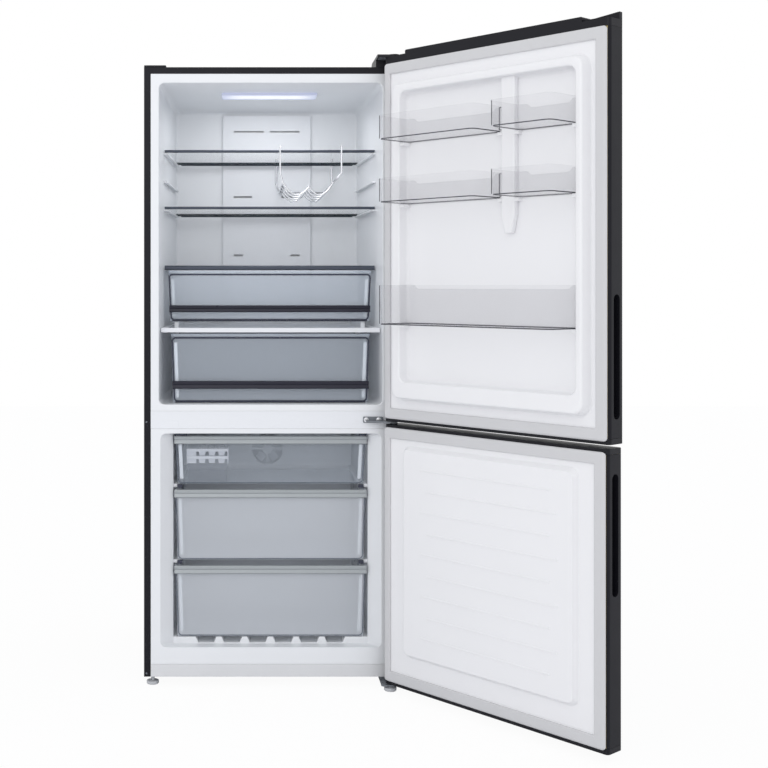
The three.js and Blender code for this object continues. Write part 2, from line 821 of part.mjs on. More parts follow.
/** Cover strip between the compartments, with a low pad over the unused hinge holes. */
function mullionCover() {
  const strip = slab([-flangeHalf, flangeHalf], [0, linerWall], [mullionLow, mullionHigh]);
  const padRight = -middlePlateRight + padWidth;
  const pad = slab([-middlePlateRight, padRight], [-gasketSeal / 2, linerWall / 2],
    [mullionLow, mullionLow + padHeight]);
  return strip.add(pad);
}

/** Lower front rail. */
const kickPlate = () => slab([-flangeHalf, flangeHalf], [0, kickThickness], [cabinetBottom, kickTop]);

// ---------------------------------------------------------------- cold and machine parts

/** Hermetic compressor: a domed can on a foot plate. */
function compressor() {
  const floor = cabinetBottom + steelSheet + deckSheet + fit;
  const foot = floor + compressorFoot;
  const y = (machineFront + cabinetDepth) / 2;
  const r = compressorRadius;
  const can = turned([
    [0, foot - compressorFoot / 2],
    ...compressorOutline.map(([radius, height]) => [radius * r, foot + height * compressorHeight]),
    [0, foot + compressorHeight],
  ], compressorX, y, compressorSides);
  const side = r + compressorPlateReach;
  const end = r - compressorPlateInset;
  const plate = slab([compressorX - side, compressorX + side], [y - end, y + end],
    [floor, foot], compressorPlateRound);
  return can.add(plate);
}

/** Air duct cover on the fridge's back wall, open behind, with pairs of outlets. */
function fridgeDuctCover() {
  const back = compartmentDepth - fit;
  const front = back - ductDepth;
  const half = ductHalfWidth;
  const z = [fridgeFloor + ductLowGap, fridgeCeiling - ductTopGap];
  const cover = slab([-half, half], [front, back], z, ductCorner, "y");
  const hollow = slab([-half + ductWall, half - ductWall], [front + ductWall, back + fit],
    [z[0] + ductWall, z[1] - ductWall], ductCorner - ductWall, "y");
  const outlets = ductSlots.flatMap(([share, inner]) => [-1, 1].map((sign) => {
    const ends = [sign * inner, sign * ductSlotOuter].sort((a, b) => a - b);
    const low = coverTop + share * shelfSpace - ductSlotHeight / 2;
    return slab(ends, [front - fit, front + 2 * ductWall], [low, low + ductSlotHeight]);
  }));
  return cover.subtract(joined([hollow, ...outlets]));
}

/** A disc about the fan's line, from one depth to another. */
function fanDisc(radius, ends) {
  const outline = new THREE.Shape();
  outline.absarc(0, fanHeight, radius, 0, 2 * Math.PI);
  return extruded(outline, "y", ends, discSteps);
}

/** Panel in front of the evaporator, with outlet slots and a spoked opening that carries the fan. */
function freezerDuctCover() {
  const half = freezerInnerHalf - 2 * freezerSideTaper;
  const y = [freezerDuctFront, freezerDuctFront + freezerDuctDepth];
  const z = [freezerStepHeight + fit, freezerCeiling - freezerCeilingStep - 2 * fit];
  const panel = slab([-half, half], y, z, freezerInnerCorner, "y");
  const slots = [];
  for (const { high } of drawers.slice(0, -1)) {
    for (const sign of [-1, 1]) {
      const middle = sign * half / 2;
      const low = high - drawerBandHeight;
      slots.push(slab([middle - half / 4, middle + half / 4], [y[0] - fit, y[1] + fit],
        [low, low + drawerBandHeight / 2]));
    }
  }
  const reach = fanRadius + 2 * fanAxle;
  const spokes = [
    slab([-reach, reach], y, [fanHeight - fanAxle, fanHeight + fanAxle]),
    slab([-fanAxle, fanAxle], y, [fanHeight - reach, fanHeight + reach]),
  ];
  const axle = fanDisc(fanAxle, [y[0], y[1] + fanGap + fanDepth / 2]);
  return panel
    .subtract(joined([fanDisc(fanRadius + fanAxle, [y[0] - fit, y[1] + fit]), ...slots]))
    .add(joined([...spokes, fanDisc(fanHubRadius, y), axle]));
}

/** Finned evaporator coil behind the freezer panel. */
function evaporator() {
  const back = compartmentDepth - 2 * fit;
  const low = freezerStepHeight + fit;
  const pitch = 2 * coilHalfWidth / coilFins;
  const bars = [];
  const middle = back - coilDepth / 2;
  for (let row = 0; row < coilBars; row += 1) {
    const z = low + (row + 0.5) * coilHeight / coilBars;
    bars.push(slab([-coilHalfWidth, coilHalfWidth], [middle - coilBarDepth / 2, middle + coilBarDepth / 2],
      [z - coilBarHalfHeight, z + coilBarHalfHeight]));
  }
  const fins = [];
  for (let i = 0; i <= coilFins; i += 1) {
    const x = -coilHalfWidth + i * pitch;
    fins.push(slab([x - coilFinHalfThickness, x + coilFinHalfThickness], [back - coilDepth, back],
      [low, low + coilHeight]));
  }
  return joined([...bars, ...fins]);
}

/** Axial fan: a hub on the panel's axle, with flat blades set at a slant. */
function evaporatorFan() {
  const front = freezerDuctFront + freezerDuctDepth + fanGap;
  const hub = fanDisc(fanHubRadius, [front, front + fanDepth]);
  const bore = fanDisc(fanAxle + fit, [front - fit, front + fanBoreDepth]);
  const blades = [];
  const root = fanHubRadius - 2 * fanBladeThickness;
  for (let i = 0; i < fanBlades; i += 1) {
    const geometry = new THREE.BoxGeometry(fanBladeWidth, fanBladeThickness, fanRadius - root);
    geometry.rotateZ(THREE.MathUtils.degToRad(fanBladeSlant));
    geometry.translate(0, front + fanDepth / 2, (fanRadius - 2 * fanBladeThickness + root) / 2);
    geometry.rotateY(i * 2 * Math.PI / fanBlades);
    geometry.translate(0, 0, fanHeight);
    blades.push(solid(geometry));
  }
  return joined([hub, ...blades]).subtract(bore);
}

/** Lens of the ceiling lamp. */
function lampLens() {
  const top = fridgeCeilingAt(lampBack) - fit;
  return slab([-lampHalfWidth, lampHalfWidth], [lampFront, lampBack], [top - lampThickness, top],
    lampCorner);
}

// ---------------------------------------------------------------- shelves and covers

const shelfHalfAt = (y) => fridgeHalfAt(y) - shelfSideClearance;

/** Side profile of a channel that grips a glass edge, open towards +Y. */
function channelProfile(front, top, height, glassTop) {
  const slotTop = glassTop + fit;
  const slotLow = glassTop - glassThickness - fit;
  const nose = height * trimNoseShare;
  return polygon([
    [front, top - height + nose],
    [front + nose, top - height],
    [front + trimDepth, top - height],
    [front + trimDepth, slotLow],
    [front + trimDepth - trimGrip, slotLow],
    [front + trimDepth - trimGrip, slotTop],
    [front + trimDepth, slotTop],
    [front + trimDepth, top],
    [front + nose, top],
    [front, top - nose],
  ]);
}

/** Glass plate that narrows towards the back with the walls. */
function shelfGlass(top, height) {
  const glassTop = glassTopOf(top, height);
  const near = shelfFront + trimDepth - trimGrip + fit;
  const far = shelfRear - trimDepth + trimGrip - fit;
  const plan = polygon([
    [-shelfHalfAt(near), near],
    [shelfHalfAt(near), near],
    [shelfHalfAt(far), far],
    [-shelfHalfAt(far), far],
  ]);
  return extruded(plan, "z", [glassTop - glassThickness, glassTop]);
}

function frontTrim(top, height) {
  const half = shelfHalfAt(shelfFront);
  const profile = channelProfile(shelfFront, top, height, glassTopOf(top, height));
  return extruded(profile, "x", [-half, half]);
}

/** The front trim's profile turned round, for the back edge of the glass. */
function rearTrim(top, height) {
  const half = shelfHalfAt(shelfRear);
  const profile = channelProfile(-shelfRear, top, height, glassTopOf(top, height));
  return extruded(profile, "x", [-half, half]).rotate([0, 0, 180]);
}

/** White frame over the lower crisper, with a raised front edge and a shallow tray. */
function lowerCover() {
  const far = shelfRear;
  const near = lowerCoverFront;
  const section = (y, z, inset) => point(shelfHalfAt(y) + 2 * fit - inset, y, z);
  const plan = (z, inset) => {
    const a = section(near + inset, z, inset);
    const b = section(far - inset, z, inset);
    return [point(-a.x, a.y, z), a, b, point(-b.x, b.y, z)];
  };
  const low = lowerCoverTop - lowerCoverHeight;
  const plate = loft([plan(low, 0), plan(lowerCoverTop, 0)]);
  const sheetLow = lowerCoverTop - lowerCoverTray - linerWall;
  const tray = loft([plan(lowerCoverTop - lowerCoverTray, lowerCoverRim),
    plan(lowerCoverTop + fit, lowerCoverRim)]);
  const underside = loft([plan(low - fit, lowerCoverRim), plan(sheetLow, lowerCoverRim)]);
  const runners = [-1, 1].map((sign) => {
    const x = sign * runnerX;
    return slab([x - runnerWidth / 2, x + runnerWidth / 2], [shelfFront + tubCorner, upperTubBack],
      [sheetLow + fit, upperTubBottom - slideGap]);
  });
  return plate.subtract(tray).subtract(underside).add(joined(runners));
}

/** Wire rack for bottles: front and rear hangers, two side rails and waved cradle wires. */
function bottleRack() {
  const frontY = shelfFront - rackWire - fit;
  const rearY = shelfRear + rackWire + fit;
  const hookTop = shelfOneTop + rackHook;
  const under = (share) => shelfOneTop - share * shelfPitch;
  const endZ = under(rackEndShare);
  const bendZ = under(rackBendShare);
  const peakZ = under(rackPeakShare);
  const wires = [];
  const hanger = (x, y, inward) => {
    wires.push(straight(point(x, y, bendZ - rackWire), point(x, y, hookTop)));
    wires.push(straight(point(x, y - inward * rackWire, hookTop),
      point(x, y + inward * trimDepth, hookTop)));
    const tip = y + inward * trimDepth;
    wires.push(straight(point(x, tip, hookTop + rackWire), point(x, tip, shelfOneTop + fit)));
  };
  for (const x of [rackLeft, rackRight]) {
    hanger(x, frontY, 1);
    hanger(x, rearY, -1);
    const end = x === rackLeft ? rackLeftEnd : rackRightEnd;
    wires.push(straight(point(x, frontY, bendZ), point(end, frontY, endZ - rackWire / 2)));
    wires.push(straight(point(x, rearY, bendZ), point(end, rearY, endZ - rackWire / 2)));
    wires.push(straight(point(end, frontY - rackWire, endZ), point(end, rearY + rackWire, endZ)));
  }
  wires.push(straight(point(rackLeftEnd - rackWire, rearY, endZ),
    point(rackRightEnd + rackWire, rearY, endZ)));
  for (let i = 0; i < rackCradles; i += 1) {
    const y = frontY + i * (rackLastCradle - frontY) / (rackCradles - 1);
    const middle = point(rackPeakX, y, peakZ);
    for (const end of [rackLeftEnd, rackRightEnd]) {
      const lowPoint = point((end + rackPeakX) / 2, y, under(rackSagShare));
      const over = point(rackPeakX - Math.sign(end - rackPeakX) * rackWire, y, peakZ + rackWire);
      const cradle = new THREE.QuadraticBezierCurve3(point(end, y, endZ), lowPoint, middle);
      wires.push(wire(cradle, rackWireSteps));
      wires.push(straight(middle, over));
    }
  }
  return joined(wires);
}

// ---------------------------------------------------------------- tubs and drawers

/** An open tub whose walls lean out towards the top, and which narrows towards the back. */
function tub({
  half, front, back, low, high, narrowing, wall = tubWall, taper = tubTaper, corner = tubCorner,
}) {
  const narrowed = (corners) => corners.map(({ x, y, z }) => {
    const share = (y - front) / (back - front);
    return point(x * (1 - share * narrowing / half), y, z);
  });
  const body = (inset, floor, rim) => loft([
    narrowed(ring("z", floor, [-half + taper + inset, half - taper - inset],
      [front + taper / 2 + inset, back - taper - inset], corner - inset)),
    narrowed(ring("z", rim, [-half + inset, half - inset], [front + inset, back - inset], corner - inset)),
  ]);
  return body(0, low, high).subtract(body(wall, low + wall, high + fit));
}

/** A pull band across the front of a tub, with a hollow behind its top edge for the fingers. */
function pullBand(half, front, low, high, depth) {
  const face = front - fit - depth;
  const back = front - fit;
  const height = high - low;
  const profile = polygon([
    [face, low + height * bandLowEdge],
    [face + depth * bandEdgeDepth, low],
    [back, low],
    [back, high],
    [face + depth * bandEdgeDepth, high],
    [face, high - height * bandTopEdge],
    [face, low + height * bandHollowTop],
    [face + depth * bandHollowDepth, low + height * bandHollowLow],
  ]);
  return extruded(profile, "x", [-half, half]);
}

/** Ice tray: two tiers of tapered cells between side plates that stand on the box below. */
function iceTray(bottom) {
  const right = iceLeft + iceWidth;
  const back = iceFront + iceLength;
  const cellsLeft = iceLeft + iceSide + iceKnobWidth;
  const cellPitch = (right - iceSide - cellsLeft) / iceColumns;
  const rowPitch = (iceLength - iceWeb) / iceRows;
  const tiers = [1, 2].map((tier) => {
    const top = bottom + tier * iceTierHeight;
    const low = top - iceTierHeight + slideGap;
    const cells = [];
    const hollows = [];
    for (let column = 0; column < iceColumns; column += 1) {
      for (let row = 0; row < iceRows; row += 1) {
        const x = [cellsLeft + column * cellPitch, cellsLeft + (column + 1) * cellPitch - iceWeb];
        const y = [iceFront + iceWeb + row * rowPitch, iceFront + (row + 1) * rowPitch];
        const cell = (inset, from, to) => loft([
          ring("z", from, [x[0] + iceDraft + inset, x[1] - iceDraft - inset],
            [y[0] + iceDraft + inset, y[1] - iceDraft - inset], 0),
          ring("z", to, [x[0] + inset, x[1] - inset], [y[0] + inset, y[1] - inset], 0),
        ]);
        cells.push(cell(0, low, top - iceTrayFlange / 2));
        hollows.push(cell(iceWall, low + iceWall, top + fit));
      }
    }
    const flange = slab([iceLeft, right], [iceFront, back], [top - iceTrayFlange, top]);
    return joined([flange, ...cells]).subtract(joined(hollows));
  });
  const height = [bottom, bottom + 2 * iceTierHeight];
  const plates = [
    slab([iceLeft, iceLeft + iceSide], [iceFront, back], height),
    slab([right - iceSide, right], [iceFront, back], height),
    slab([iceLeft, cellsLeft - iceWeb], [iceFront + iceWeb, back - iceWeb], height),
  ];
  return joined([...tiers, ...plates]);
}

/** Ice box under the tray, open at the top. */
function iceBox(bottom) {
  const box = tub({
    half: iceWidth / 2,
    front: iceFront,
    back: iceFront + iceLength,
    low: bottom,
    high: bottom + iceBoxHeight,
    narrowing: 0,
    taper: iceBoxTaper,
    corner: iceBoxCorner,
  });
  return box.translate([iceLeft + iceWidth / 2, 0, 0]);
}

// ---------------------------------------------------------------- doors

/** The hollow of the edge grip, grown outwards by a wall. */
function gripPocket([low, high], grow) {
  const left = -halfWidth - (grow > 0 ? 0 : fit);
  return slab([left, -halfWidth + gripRecessDepth + grow],
    [-gripRecessFront - grow, -gripRecessBack + grow],
    [low - grow, high + grow], gripRecessRound + grow, "x");
}

/** Folded steel door pan with the moulded cup of its edge grip. */
function doorSkin([low, high], recess) {
  const outline = (inset, z) => slab([-halfWidth + inset, halfWidth - inset],
    [doorFace + inset, doorBack - inset], z, doorEdgeRound - inset);
  const opening = slab([-halfWidth + doorReturn, halfWidth - doorReturn],
    [doorBack - 2 * steelSheet, doorBack + fit], [low - fit, high + fit]);
  const pan = outline(0, [low, high])
    .subtract(outline(steelSheet, [low - fit, high + fit]))
    .subtract(opening);
  return pan.add(gripPocket(recess, gripRecessWall)).subtract(gripPocket(recess, 0));
}

function doorFoam([low, high], recess) {
  const inset = steelSheet + fit;
  const block = slab([-halfWidth + inset, halfWidth - inset],
    [doorFace + inset, doorBack - inset], [low + fit, high - fit], doorEdgeRound - inset);
  return block.subtract(gripPocket(recess, gripRecessWall + fit));
}

/** An end cap with a hole for the hinge pin. */
function endCap([low, high], pinRange) {
  const cap = slab([-halfWidth, halfWidth], [doorFace, doorBack], [low, high], doorEdgeRound);
  return cap.subtract(pin(hingeX, hingeY, pinRange, pinRadius + pinClearance));
}

/** Top cap of the upper door: front rim with a peak, raised middle and two lower shoulders. */
function topCap(low) {
  const full = slab([-halfWidth, halfWidth], [doorFace, doorBack], [low, upperDoorHigh], doorEdgeRound);
  const crown = extruded(polygon([
    [-halfWidth, low],
    [halfWidth, low],
    [halfWidth, topCapPlateau],
    [-halfWidth + topCapPeakWidth, topCapPlateau],
    [-halfWidth, upperDoorHigh],
  ]), "y", [doorFace, doorBack]);
  const rimBack = doorFace + topCapRimDepth;
  const shoulders = slab([-cabinetWidth, cabinetWidth], [rimBack, 0],
    [topCapShoulder, upperDoorHigh + fit]);
  const plateau = slab([-topCapPlateauHalf, topCapPlateauHalf], [rimBack - fit, doorBack],
    [topCapShoulder - fit, topCapPlateau], topCapPlateauRound, "y");
  const hole = pin(hingeX, hingeY, [low + hingePlate, upperDoorHigh + fit], pinRadius + pinClearance);
  return full.intersect(crown).subtract(shoulders).add(plateau).subtract(hole);
}

/** Magnetic door seal: a frame with a chamfered sealing face, narrower beside the hinges. */
function gasket([low, high]) {
  const outer = halfWidth - gasketInset;
  const front = linerFace + fit;
  const face = front + gasketThickness;
  const level = (y, inset) =>
    ring("y", y, [-outer + inset, outer - inset], [low + inset, high - inset], doorEdgeRound);
  const hole = (y, inset) => {
    const width = gasketWidth + inset;
    return ring("y", y, [-outer + width, outer - gasketHingeWidth - inset], [low + width, high - width],
      doorEdgeRound / 2);
  };
  const body = loft([
    level(front, gasketRound),
    level(front + gasketRound, 0),
    level(face - gasketChamfer, 0),
    level(face, gasketChamfer),
  ]);
  const inside = loft([
    hole(front - fit, 0),
    hole(face - gasketRound, 0),
    hole(face + fit, -gasketRound),
  ]);
  return body.subtract(inside);
}

/** Bin ends on the hinge side and the free side, by bay. */
const hingeBay = [postHingeSide + binSideGap, bayHingeSide - binSideGap];
const freeBay = [-bayFreeSide + binSideGap, postFreeSide - binSideGap];
const fullBay = [freeBay[0], hingeBay[1]];
const topBinLow = coverTop + topBinShare * shelfSpace;
const middleBinLow = coverTop + middleBinShare * shelfSpace;
const bottomBinLow = fridgeFloor + bottomBinRise;
const bins = [
  { name: "bin_top_hinge_side", ends: hingeBay, low: topBinLow, height: smallBinHeight },
  { name: "bin_top_free_side", ends: freeBay, low: topBinLow, height: smallBinHeight },
  { name: "bin_middle_hinge_side", ends: hingeBay, low: middleBinLow, height: smallBinHeight },
  { name: "bin_middle_free_side", ends: freeBay, low: middleBinLow, height: smallBinHeight },
  { name: "bin_bottom", ends: fullBay, low: bottomBinLow, height: bottomBinHeight },
];

/** Support lugs under both ends of each bin, as far out as the wall they grow from. */
function binLugs() {
  return bins.flatMap(({ ends, low }) => ends.map((end, side) => {
    const outward = side === 0 ? -1 : 1;
    const wallX = end + outward * (binSideGap + linerWall / 2);
    const tipX = end - outward * lugWidth;
    const onPost = low > postLow && (end === hingeBay[0] || end === freeBay[1]);
    const reach = onPost ? postReach : lugReach;
    return slab([Math.min(wallX, tipX), Math.max(wallX, tipX)], [linerFace - fit, reach],
      [low - slideGap - lugHeight, low - slideGap]);
  }));
}

/** Sheet behind a door's seal, from the pan's back to the inner face. */
function linerPlate([low, high]) {
  const half = halfWidth - doorReturn - fit;
  return slab([-half, half], [doorBack + fit, linerFace], [low + linerWall, high - linerWall]);
}

/** Inner lining of the upper door: raised border, two bays, their post and the bin lugs. */
function upperDoorLiner() {
  const border = (inset, back, reach) => loft([
    ring("y", back, [-dikeHalf + inset, dikeHalf - inset], [dikeLow + inset, dikeHigh - inset],
      dikeRound - inset),
    ring("y", reach, [-dikeHalf + inset + dikeDraft, dikeHalf - inset - dikeDraft],
      [dikeLow + inset + dikeDraft, dikeHigh - inset - dikeDraft], dikeRound - inset),
  ]);
  const bay = (grow, y) => slab([-bayFreeSide - grow, bayHingeSide + grow], y,
    [bayLow - grow, bayHigh + grow], bayRound + grow, "y");
  const postTop = (bayHigh + dikeHigh) / 2;
  const post = extruded(polygon([
    [postFreeSide, postTop],
    [postFreeSide, postLow + postTaper],
    [postFreeSide + postTaperInset, postLow],
    [postHingeSide - postTaperInset, postLow],
    [postHingeSide, postLow + postTaper],
    [postHingeSide, postTop],
  ]), "y", [linerFace - fit, postReach]);
  const behind = doorBack - linerWall;
  const cavity = border(linerWall, behind, dikeReach - linerWall)
    .subtract(bay(linerWall, [behind, dikeReach]));
  return linerPlate(upperGasket)
    .add(border(0, doorBack + fit, dikeReach))
    .subtract(bay(0, [linerFace, dikeReach + fit]))
    .subtract(cavity)
    .add(joined([post, ...binLugs()]));
}

/** Inner lining of the lower door: a shallow raised panel with staggered ribs. */
function lowerDoorLiner() {
  const panel = (inset, back, reach) => loft([
    ring("y", back, [-plugFreeSide + inset, plugHingeSide - inset],
      [plugLow + inset, plugHigh - inset], plugRound),
    ring("y", reach, [-plugFreeSide + plugDraft + inset, plugHingeSide - plugDraft - inset],
      [plugLow + plugDraft + inset, plugHigh - plugDraft - inset], plugRound - plugDraft / 2),
  ]);
  const firstRib = plugLow + plugRibMargin;
  const ribPitch = (plugHigh - plugRibMargin - firstRib) / (plugRibs - 1);
  const ribs = [];
  for (let i = 0; i < plugRibs; i += 1) {
    const z = firstRib + i * ribPitch;
    const shift = (i % 2) * plugRibStagger;
    ribs.push(slab([plugRibLeft - shift, plugRibRight - shift],
      [plugReach - linerWall / 2, plugReach + plugRibProud], [z, z + plugRibHeight]));
  }
  return linerPlate(lowerGasket)
    .add(panel(0, linerFace - fit, plugReach))
    .subtract(panel(linerWall, doorBack - fit, plugReach - linerWall))
    .add(joined(ribs));
}

/** A door bin, open at the top, with round corners and a back wall that dips between two ears. */
function doorBin({ ends: [left, right], low, height }) {
  const back = linerFace + slideGap;
  const high = low + height;
  const body = (inset, floor, rim) => loft([
    ring("z", floor, [left + binDraft + inset, right - binDraft - inset],
      [back + inset, binReach - binDraft - inset], binRound - inset),
    ring("z", rim, [left + inset, right - inset], [back + inset, binReach - inset], binRound - inset),
  ]);
  const slope = [[left + binEarWidth, high + fit]];
  for (let i = 0; i <= binDipSteps; i += 1) {
    const drop = binDip * (1 - Math.cos(Math.PI * i / binDipSteps)) / 2;
    slope.push([left + binEarWidth + binDipRun * i / binDipSteps, high - drop]);
  }
  const mirrored = slope.map(([x, z]) => [left + right - x, z]).reverse();
  const dip = extruded(polygon([...slope, ...mirrored]), "y", [back - fit, back + 2 * binWall]);
  return body(0, low, high).subtract(body(binWall, low + binWall, high + fit)).subtract(dip);
}

// ---------------------------------------------------------------- hinges, covers and feet

/** Top hinge: a foot on the cabinet, a slanted rise, and an arm that ends round the pin. */
function topHinge() {
  const footLow = cabinetTop + fit;
  const armLow = topCapShoulder + fit + slideGap;
  const bend = doorBack + topHingeFront;
  const profile = polygon([
    [hingeY, armLow],
    [bend, armLow],
    [topHingeFoot - topHingeSlant, footLow],
    [topHingeBack, footLow],
    [topHingeBack, footLow + hingePlate],
    [topHingeFoot - topHingeSlant + hingePlate / 2, footLow + hingePlate],
    [bend + hingePlate / 2, armLow + hingePlate],
    [hingeY, armLow + hingePlate],
  ]);
  const armRight = hingeX - coverWall - fit;
  const arm = extruded(profile, "x", [armRight - topHingeWidth, armRight]);
  const nose = pin(hingeX, hingeY, [armLow, armLow + hingePlate], hingeNose);
  const hingePin = pin(hingeX, hingeY, [upperPanTop + capHeight / 2, armLow + hingePlate / 2], pinRadius);
  return joined([arm, nose, hingePin]);
}

/** Plastic cover over the top hinge, open below, with a round nose over the pin. */
function hingeCover() {
  const noseFront = hingeY - hingeNose;
  const body = (inset, drop) => {
    const top = coverHigh - inset;
    const low = cabinetTop + fit - drop;
    const shoulder = topCapShoulder + fit - drop;
    const chamfer = (top - shoulder) * coverChamferShare;
    const over = extruded(polygon([
      [fit + inset, low],
      [coverBack - inset, low],
      [coverBack - inset, cabinetTop + coverTail - inset],
      [coverBack - coverTailLength - inset, top],
      [fit + inset, top],
    ]), "x", [coverLeft + inset, halfWidth - inset]);
    const tongue = extruded(polygon([
      [topHingeFoot, shoulder],
      [topHingeFoot, top],
      [noseFront + inset + chamfer, top],
      [noseFront + inset, top - chamfer],
      [noseFront + inset, shoulder],
    ]), "x", [coverLeft + inset, hingeX - inset]);
    const nose = pin(hingeX, hingeY, [shoulder, top], hingeNose + coverWall - inset + fit);
    return joined([over, tongue, nose]);
  };
  return body(0, 0).subtract(body(coverWall, 2 * fit));
}

/** Small cap on the cabinet's other top corner. */
const cornerCap = () => slab([-halfWidth, -halfWidth + cornerCapWidth], [0, cornerCapDepth],
  [cabinetTop + fit, cabinetTop + fit + cornerCapHeight], cornerCapRound);

/** Middle hinge: a plate on the cover strip and an arm with a pin up and a pin down. */
function middleHinge() {
  const back = -gasketSeal / 2;
  const front = hingeY - armEyeFront;
  const tip = hingeX + armEye;
  const plate = slab([middlePlateLeft, middlePlateRight], [back - middlePlateThickness, back],
    [doorGapMiddle - middlePlateDrop, middlePlateHigh], middlePlateThickness, "y");
  const arm = extruded(polygon([
    [middlePlateLeft + armInset, back],
    [middlePlateLeft + armInset, back - middlePlateThickness - armInset],
    [hingeX - armEyeFront, front],
    [tip, front],
    [tip, hingeY + armEye],
    [middlePlateRight, back],
  ]), "z", [doorGapMiddle - armThickness / 2, doorGapMiddle + armThickness / 2]);
  const reach = capHeight - armThickness;
  const pins = pin(hingeX, hingeY, [lowerDoorHigh - reach, upperDoorLow + reach], pinRadius);
  return joined([plate, arm, pins]);
}

/** Bottom hinge: a plate under the cabinet's corner with the pin of the lower door. */
function bottomHinge() {
  const x = [bottomPlateLeft, halfWidth - bottomPlateInset];
  const plate = slab(x, [-bottomPlateFront, bottomPlateBack],
    [bottomPlateHigh - bottomPlateThickness, bottomPlateHigh], bottomPlateInset);
  const spacer = slab(x, [steelSheet + kickThickness, bottomPlateBack],
    [bottomPlateHigh - fit, cabinetBottom + steelSheet - fit], bottomPlateInset);
  const hingePin = pin(hingeX, hingeY, [bottomPlateHigh - fit, lowerDoorLow + bottomPinReach], pinRadius);
  return joined([plate, spacer, hingePin]);
}

/** Levelling foot: a ribless disc with a stud. */
function levellingFoot(x, y, top) {
  return turned([
    [0, 0],
    [footRadius - footBevel, 0],
    [footRadius, footBevel],
    [footRadius, footDisc],
    [footStud + footBevel, footDisc + footBevel],
    [footStud, footDisc + footBevel],
    [footStud, top],
    [0, top],
  ], x, y);
}

// ---------------------------------------------------------------- the whole refrigerator

addPiece(refrigerator, "cabinet_shell", cabinetShell(), finishes.blackSteel);
addPiece(refrigerator, "back_panel", backPanel(), finishes.zincSteel);
addPiece(refrigerator, "cabinet_foam", cabinetFoam(), finishes.foam);
addPiece(refrigerator, "fridge_liner", fridgeLiner(), finishes.whitePlastic);
addPiece(refrigerator, "freezer_liner", freezerLiner(), finishes.whitePlastic);
addPiece(refrigerator, "mullion_cover", mullionCover(), finishes.whitePlastic);
addPiece(refrigerator, "kick_plate", kickPlate(), finishes.kickPlastic);
addPiece(refrigerator, "base_deck", baseDeck(), finishes.zincSteel);
addPiece(refrigerator, "compressor", compressor(), finishes.compressorBlack);
addPiece(refrigerator, "evaporator", evaporator(), finishes.aluminium);
addPiece(refrigerator, "evaporator_fan", evaporatorFan(), finishes.blackPlastic);
addPiece(refrigerator, "freezer_duct_cover", freezerDuctCover(), finishes.whitePlastic);
addPiece(refrigerator, "fridge_duct_cover", fridgeDuctCover(), finishes.whitePlastic);
addPiece(refrigerator, "lamp_lens", lampLens(), finishes.lamp);

for (const [name, top] of [["shelf_upper", shelfOneTop], ["shelf_lower", shelfTwoTop]]) {
  addPiece(refrigerator, `${name}_glass`, shelfGlass(top, trimHeight), finishes.glass);
  addPiece(refrigerator, `${name}_front_trim`, frontTrim(top, trimHeight), finishes.darkTrim);
  addPiece(refrigerator, `${name}_rear_trim`, rearTrim(top, trimHeight), finishes.darkTrim);
}
addPiece(refrigerator, "bottle_rack", bottleRack(), finishes.chromeWire);
addPiece(refrigerator, "crisper_cover_glass", shelfGlass(coverTop, coverTrimHeight), finishes.glass);
addPiece(refrigerator, "crisper_cover_trim", frontTrim(coverTop, coverTrimHeight), finishes.darkTrim);
addPiece(refrigerator, "lower_crisper_cover", lowerCover(), finishes.whitePlastic);

const crispers = [
  {
    name: "upper_crisper",
    shape: { half: upperTubHalf, front: shelfFront, back: upperTubBack, low: upperTubBottom, high: upperTubTop },
    grip: [upperTubBottom + upperGripRise, upperTubBottom + upperGripRise + upperGripHeight],
  },
  {
    name: "lower_crisper",
    shape: {
      half: lowerTubHalf,
      front: lowerTubFront,
      back: lowerTubBack,
      low: fridgeFloor + slideGap,
      high: lowerTubTop,
    },
    grip: [fridgeFloor + lowerGripRise + slideGap, fridgeFloor + lowerGripRise + slideGap + lowerGripHeight],
  },
];
for (const { name, shape, grip } of crispers) {
  const narrowing = fridgeSideTaper * (shape.back - shape.front) / compartmentDepth;
  addPiece(refrigerator, `${name}_tub`, tub({ ...shape, narrowing }), finishes.clearTub);
  const band = pullBand(shape.half - tubTaper, shape.front, grip[0], grip[1], gripDepth);
  addPiece(refrigerator, `${name}_grip`, band, finishes.navyBand);
}

drawers.forEach(({ name, low, high, back }) => {
  const shape = {
    half: drawerHalf,
    front: drawerFront,
    back,
    low,
    high: high - slideGap,
    narrowing: drawerNarrowing,
  };
  addPiece(refrigerator, `${name}_tub`, tub(shape), finishes.greyTub);
  const band = pullBand(drawerHalf, drawerFront, high - drawerBandHeight, high, drawerBandDepth);
  addPiece(refrigerator, `${name}_band`, band, finishes.satinBand);
});
const iceBoxBottom = drawers[0].low + tubWall + fit;
addPiece(refrigerator, "ice_box", iceBox(iceBoxBottom), finishes.greyTub);
addPiece(refrigerator, "ice_tray", iceTray(iceBoxBottom + iceBoxHeight + slideGap), finishes.iceWhite);

/** A group whose contents turn about the hinge line, from coordinates of the closed door. */
function hingedGroup(angle) {
  const turning = new THREE.Group();
  turning.position.set(hingeX, hingeY, 0);
  turning.rotation.z = THREE.MathUtils.degToRad(angle);
  const closed = new THREE.Group();
  closed.position.set(-hingeX, -hingeY, 0);
  turning.add(closed);
  refrigerator.add(turning);
  return closed;
}

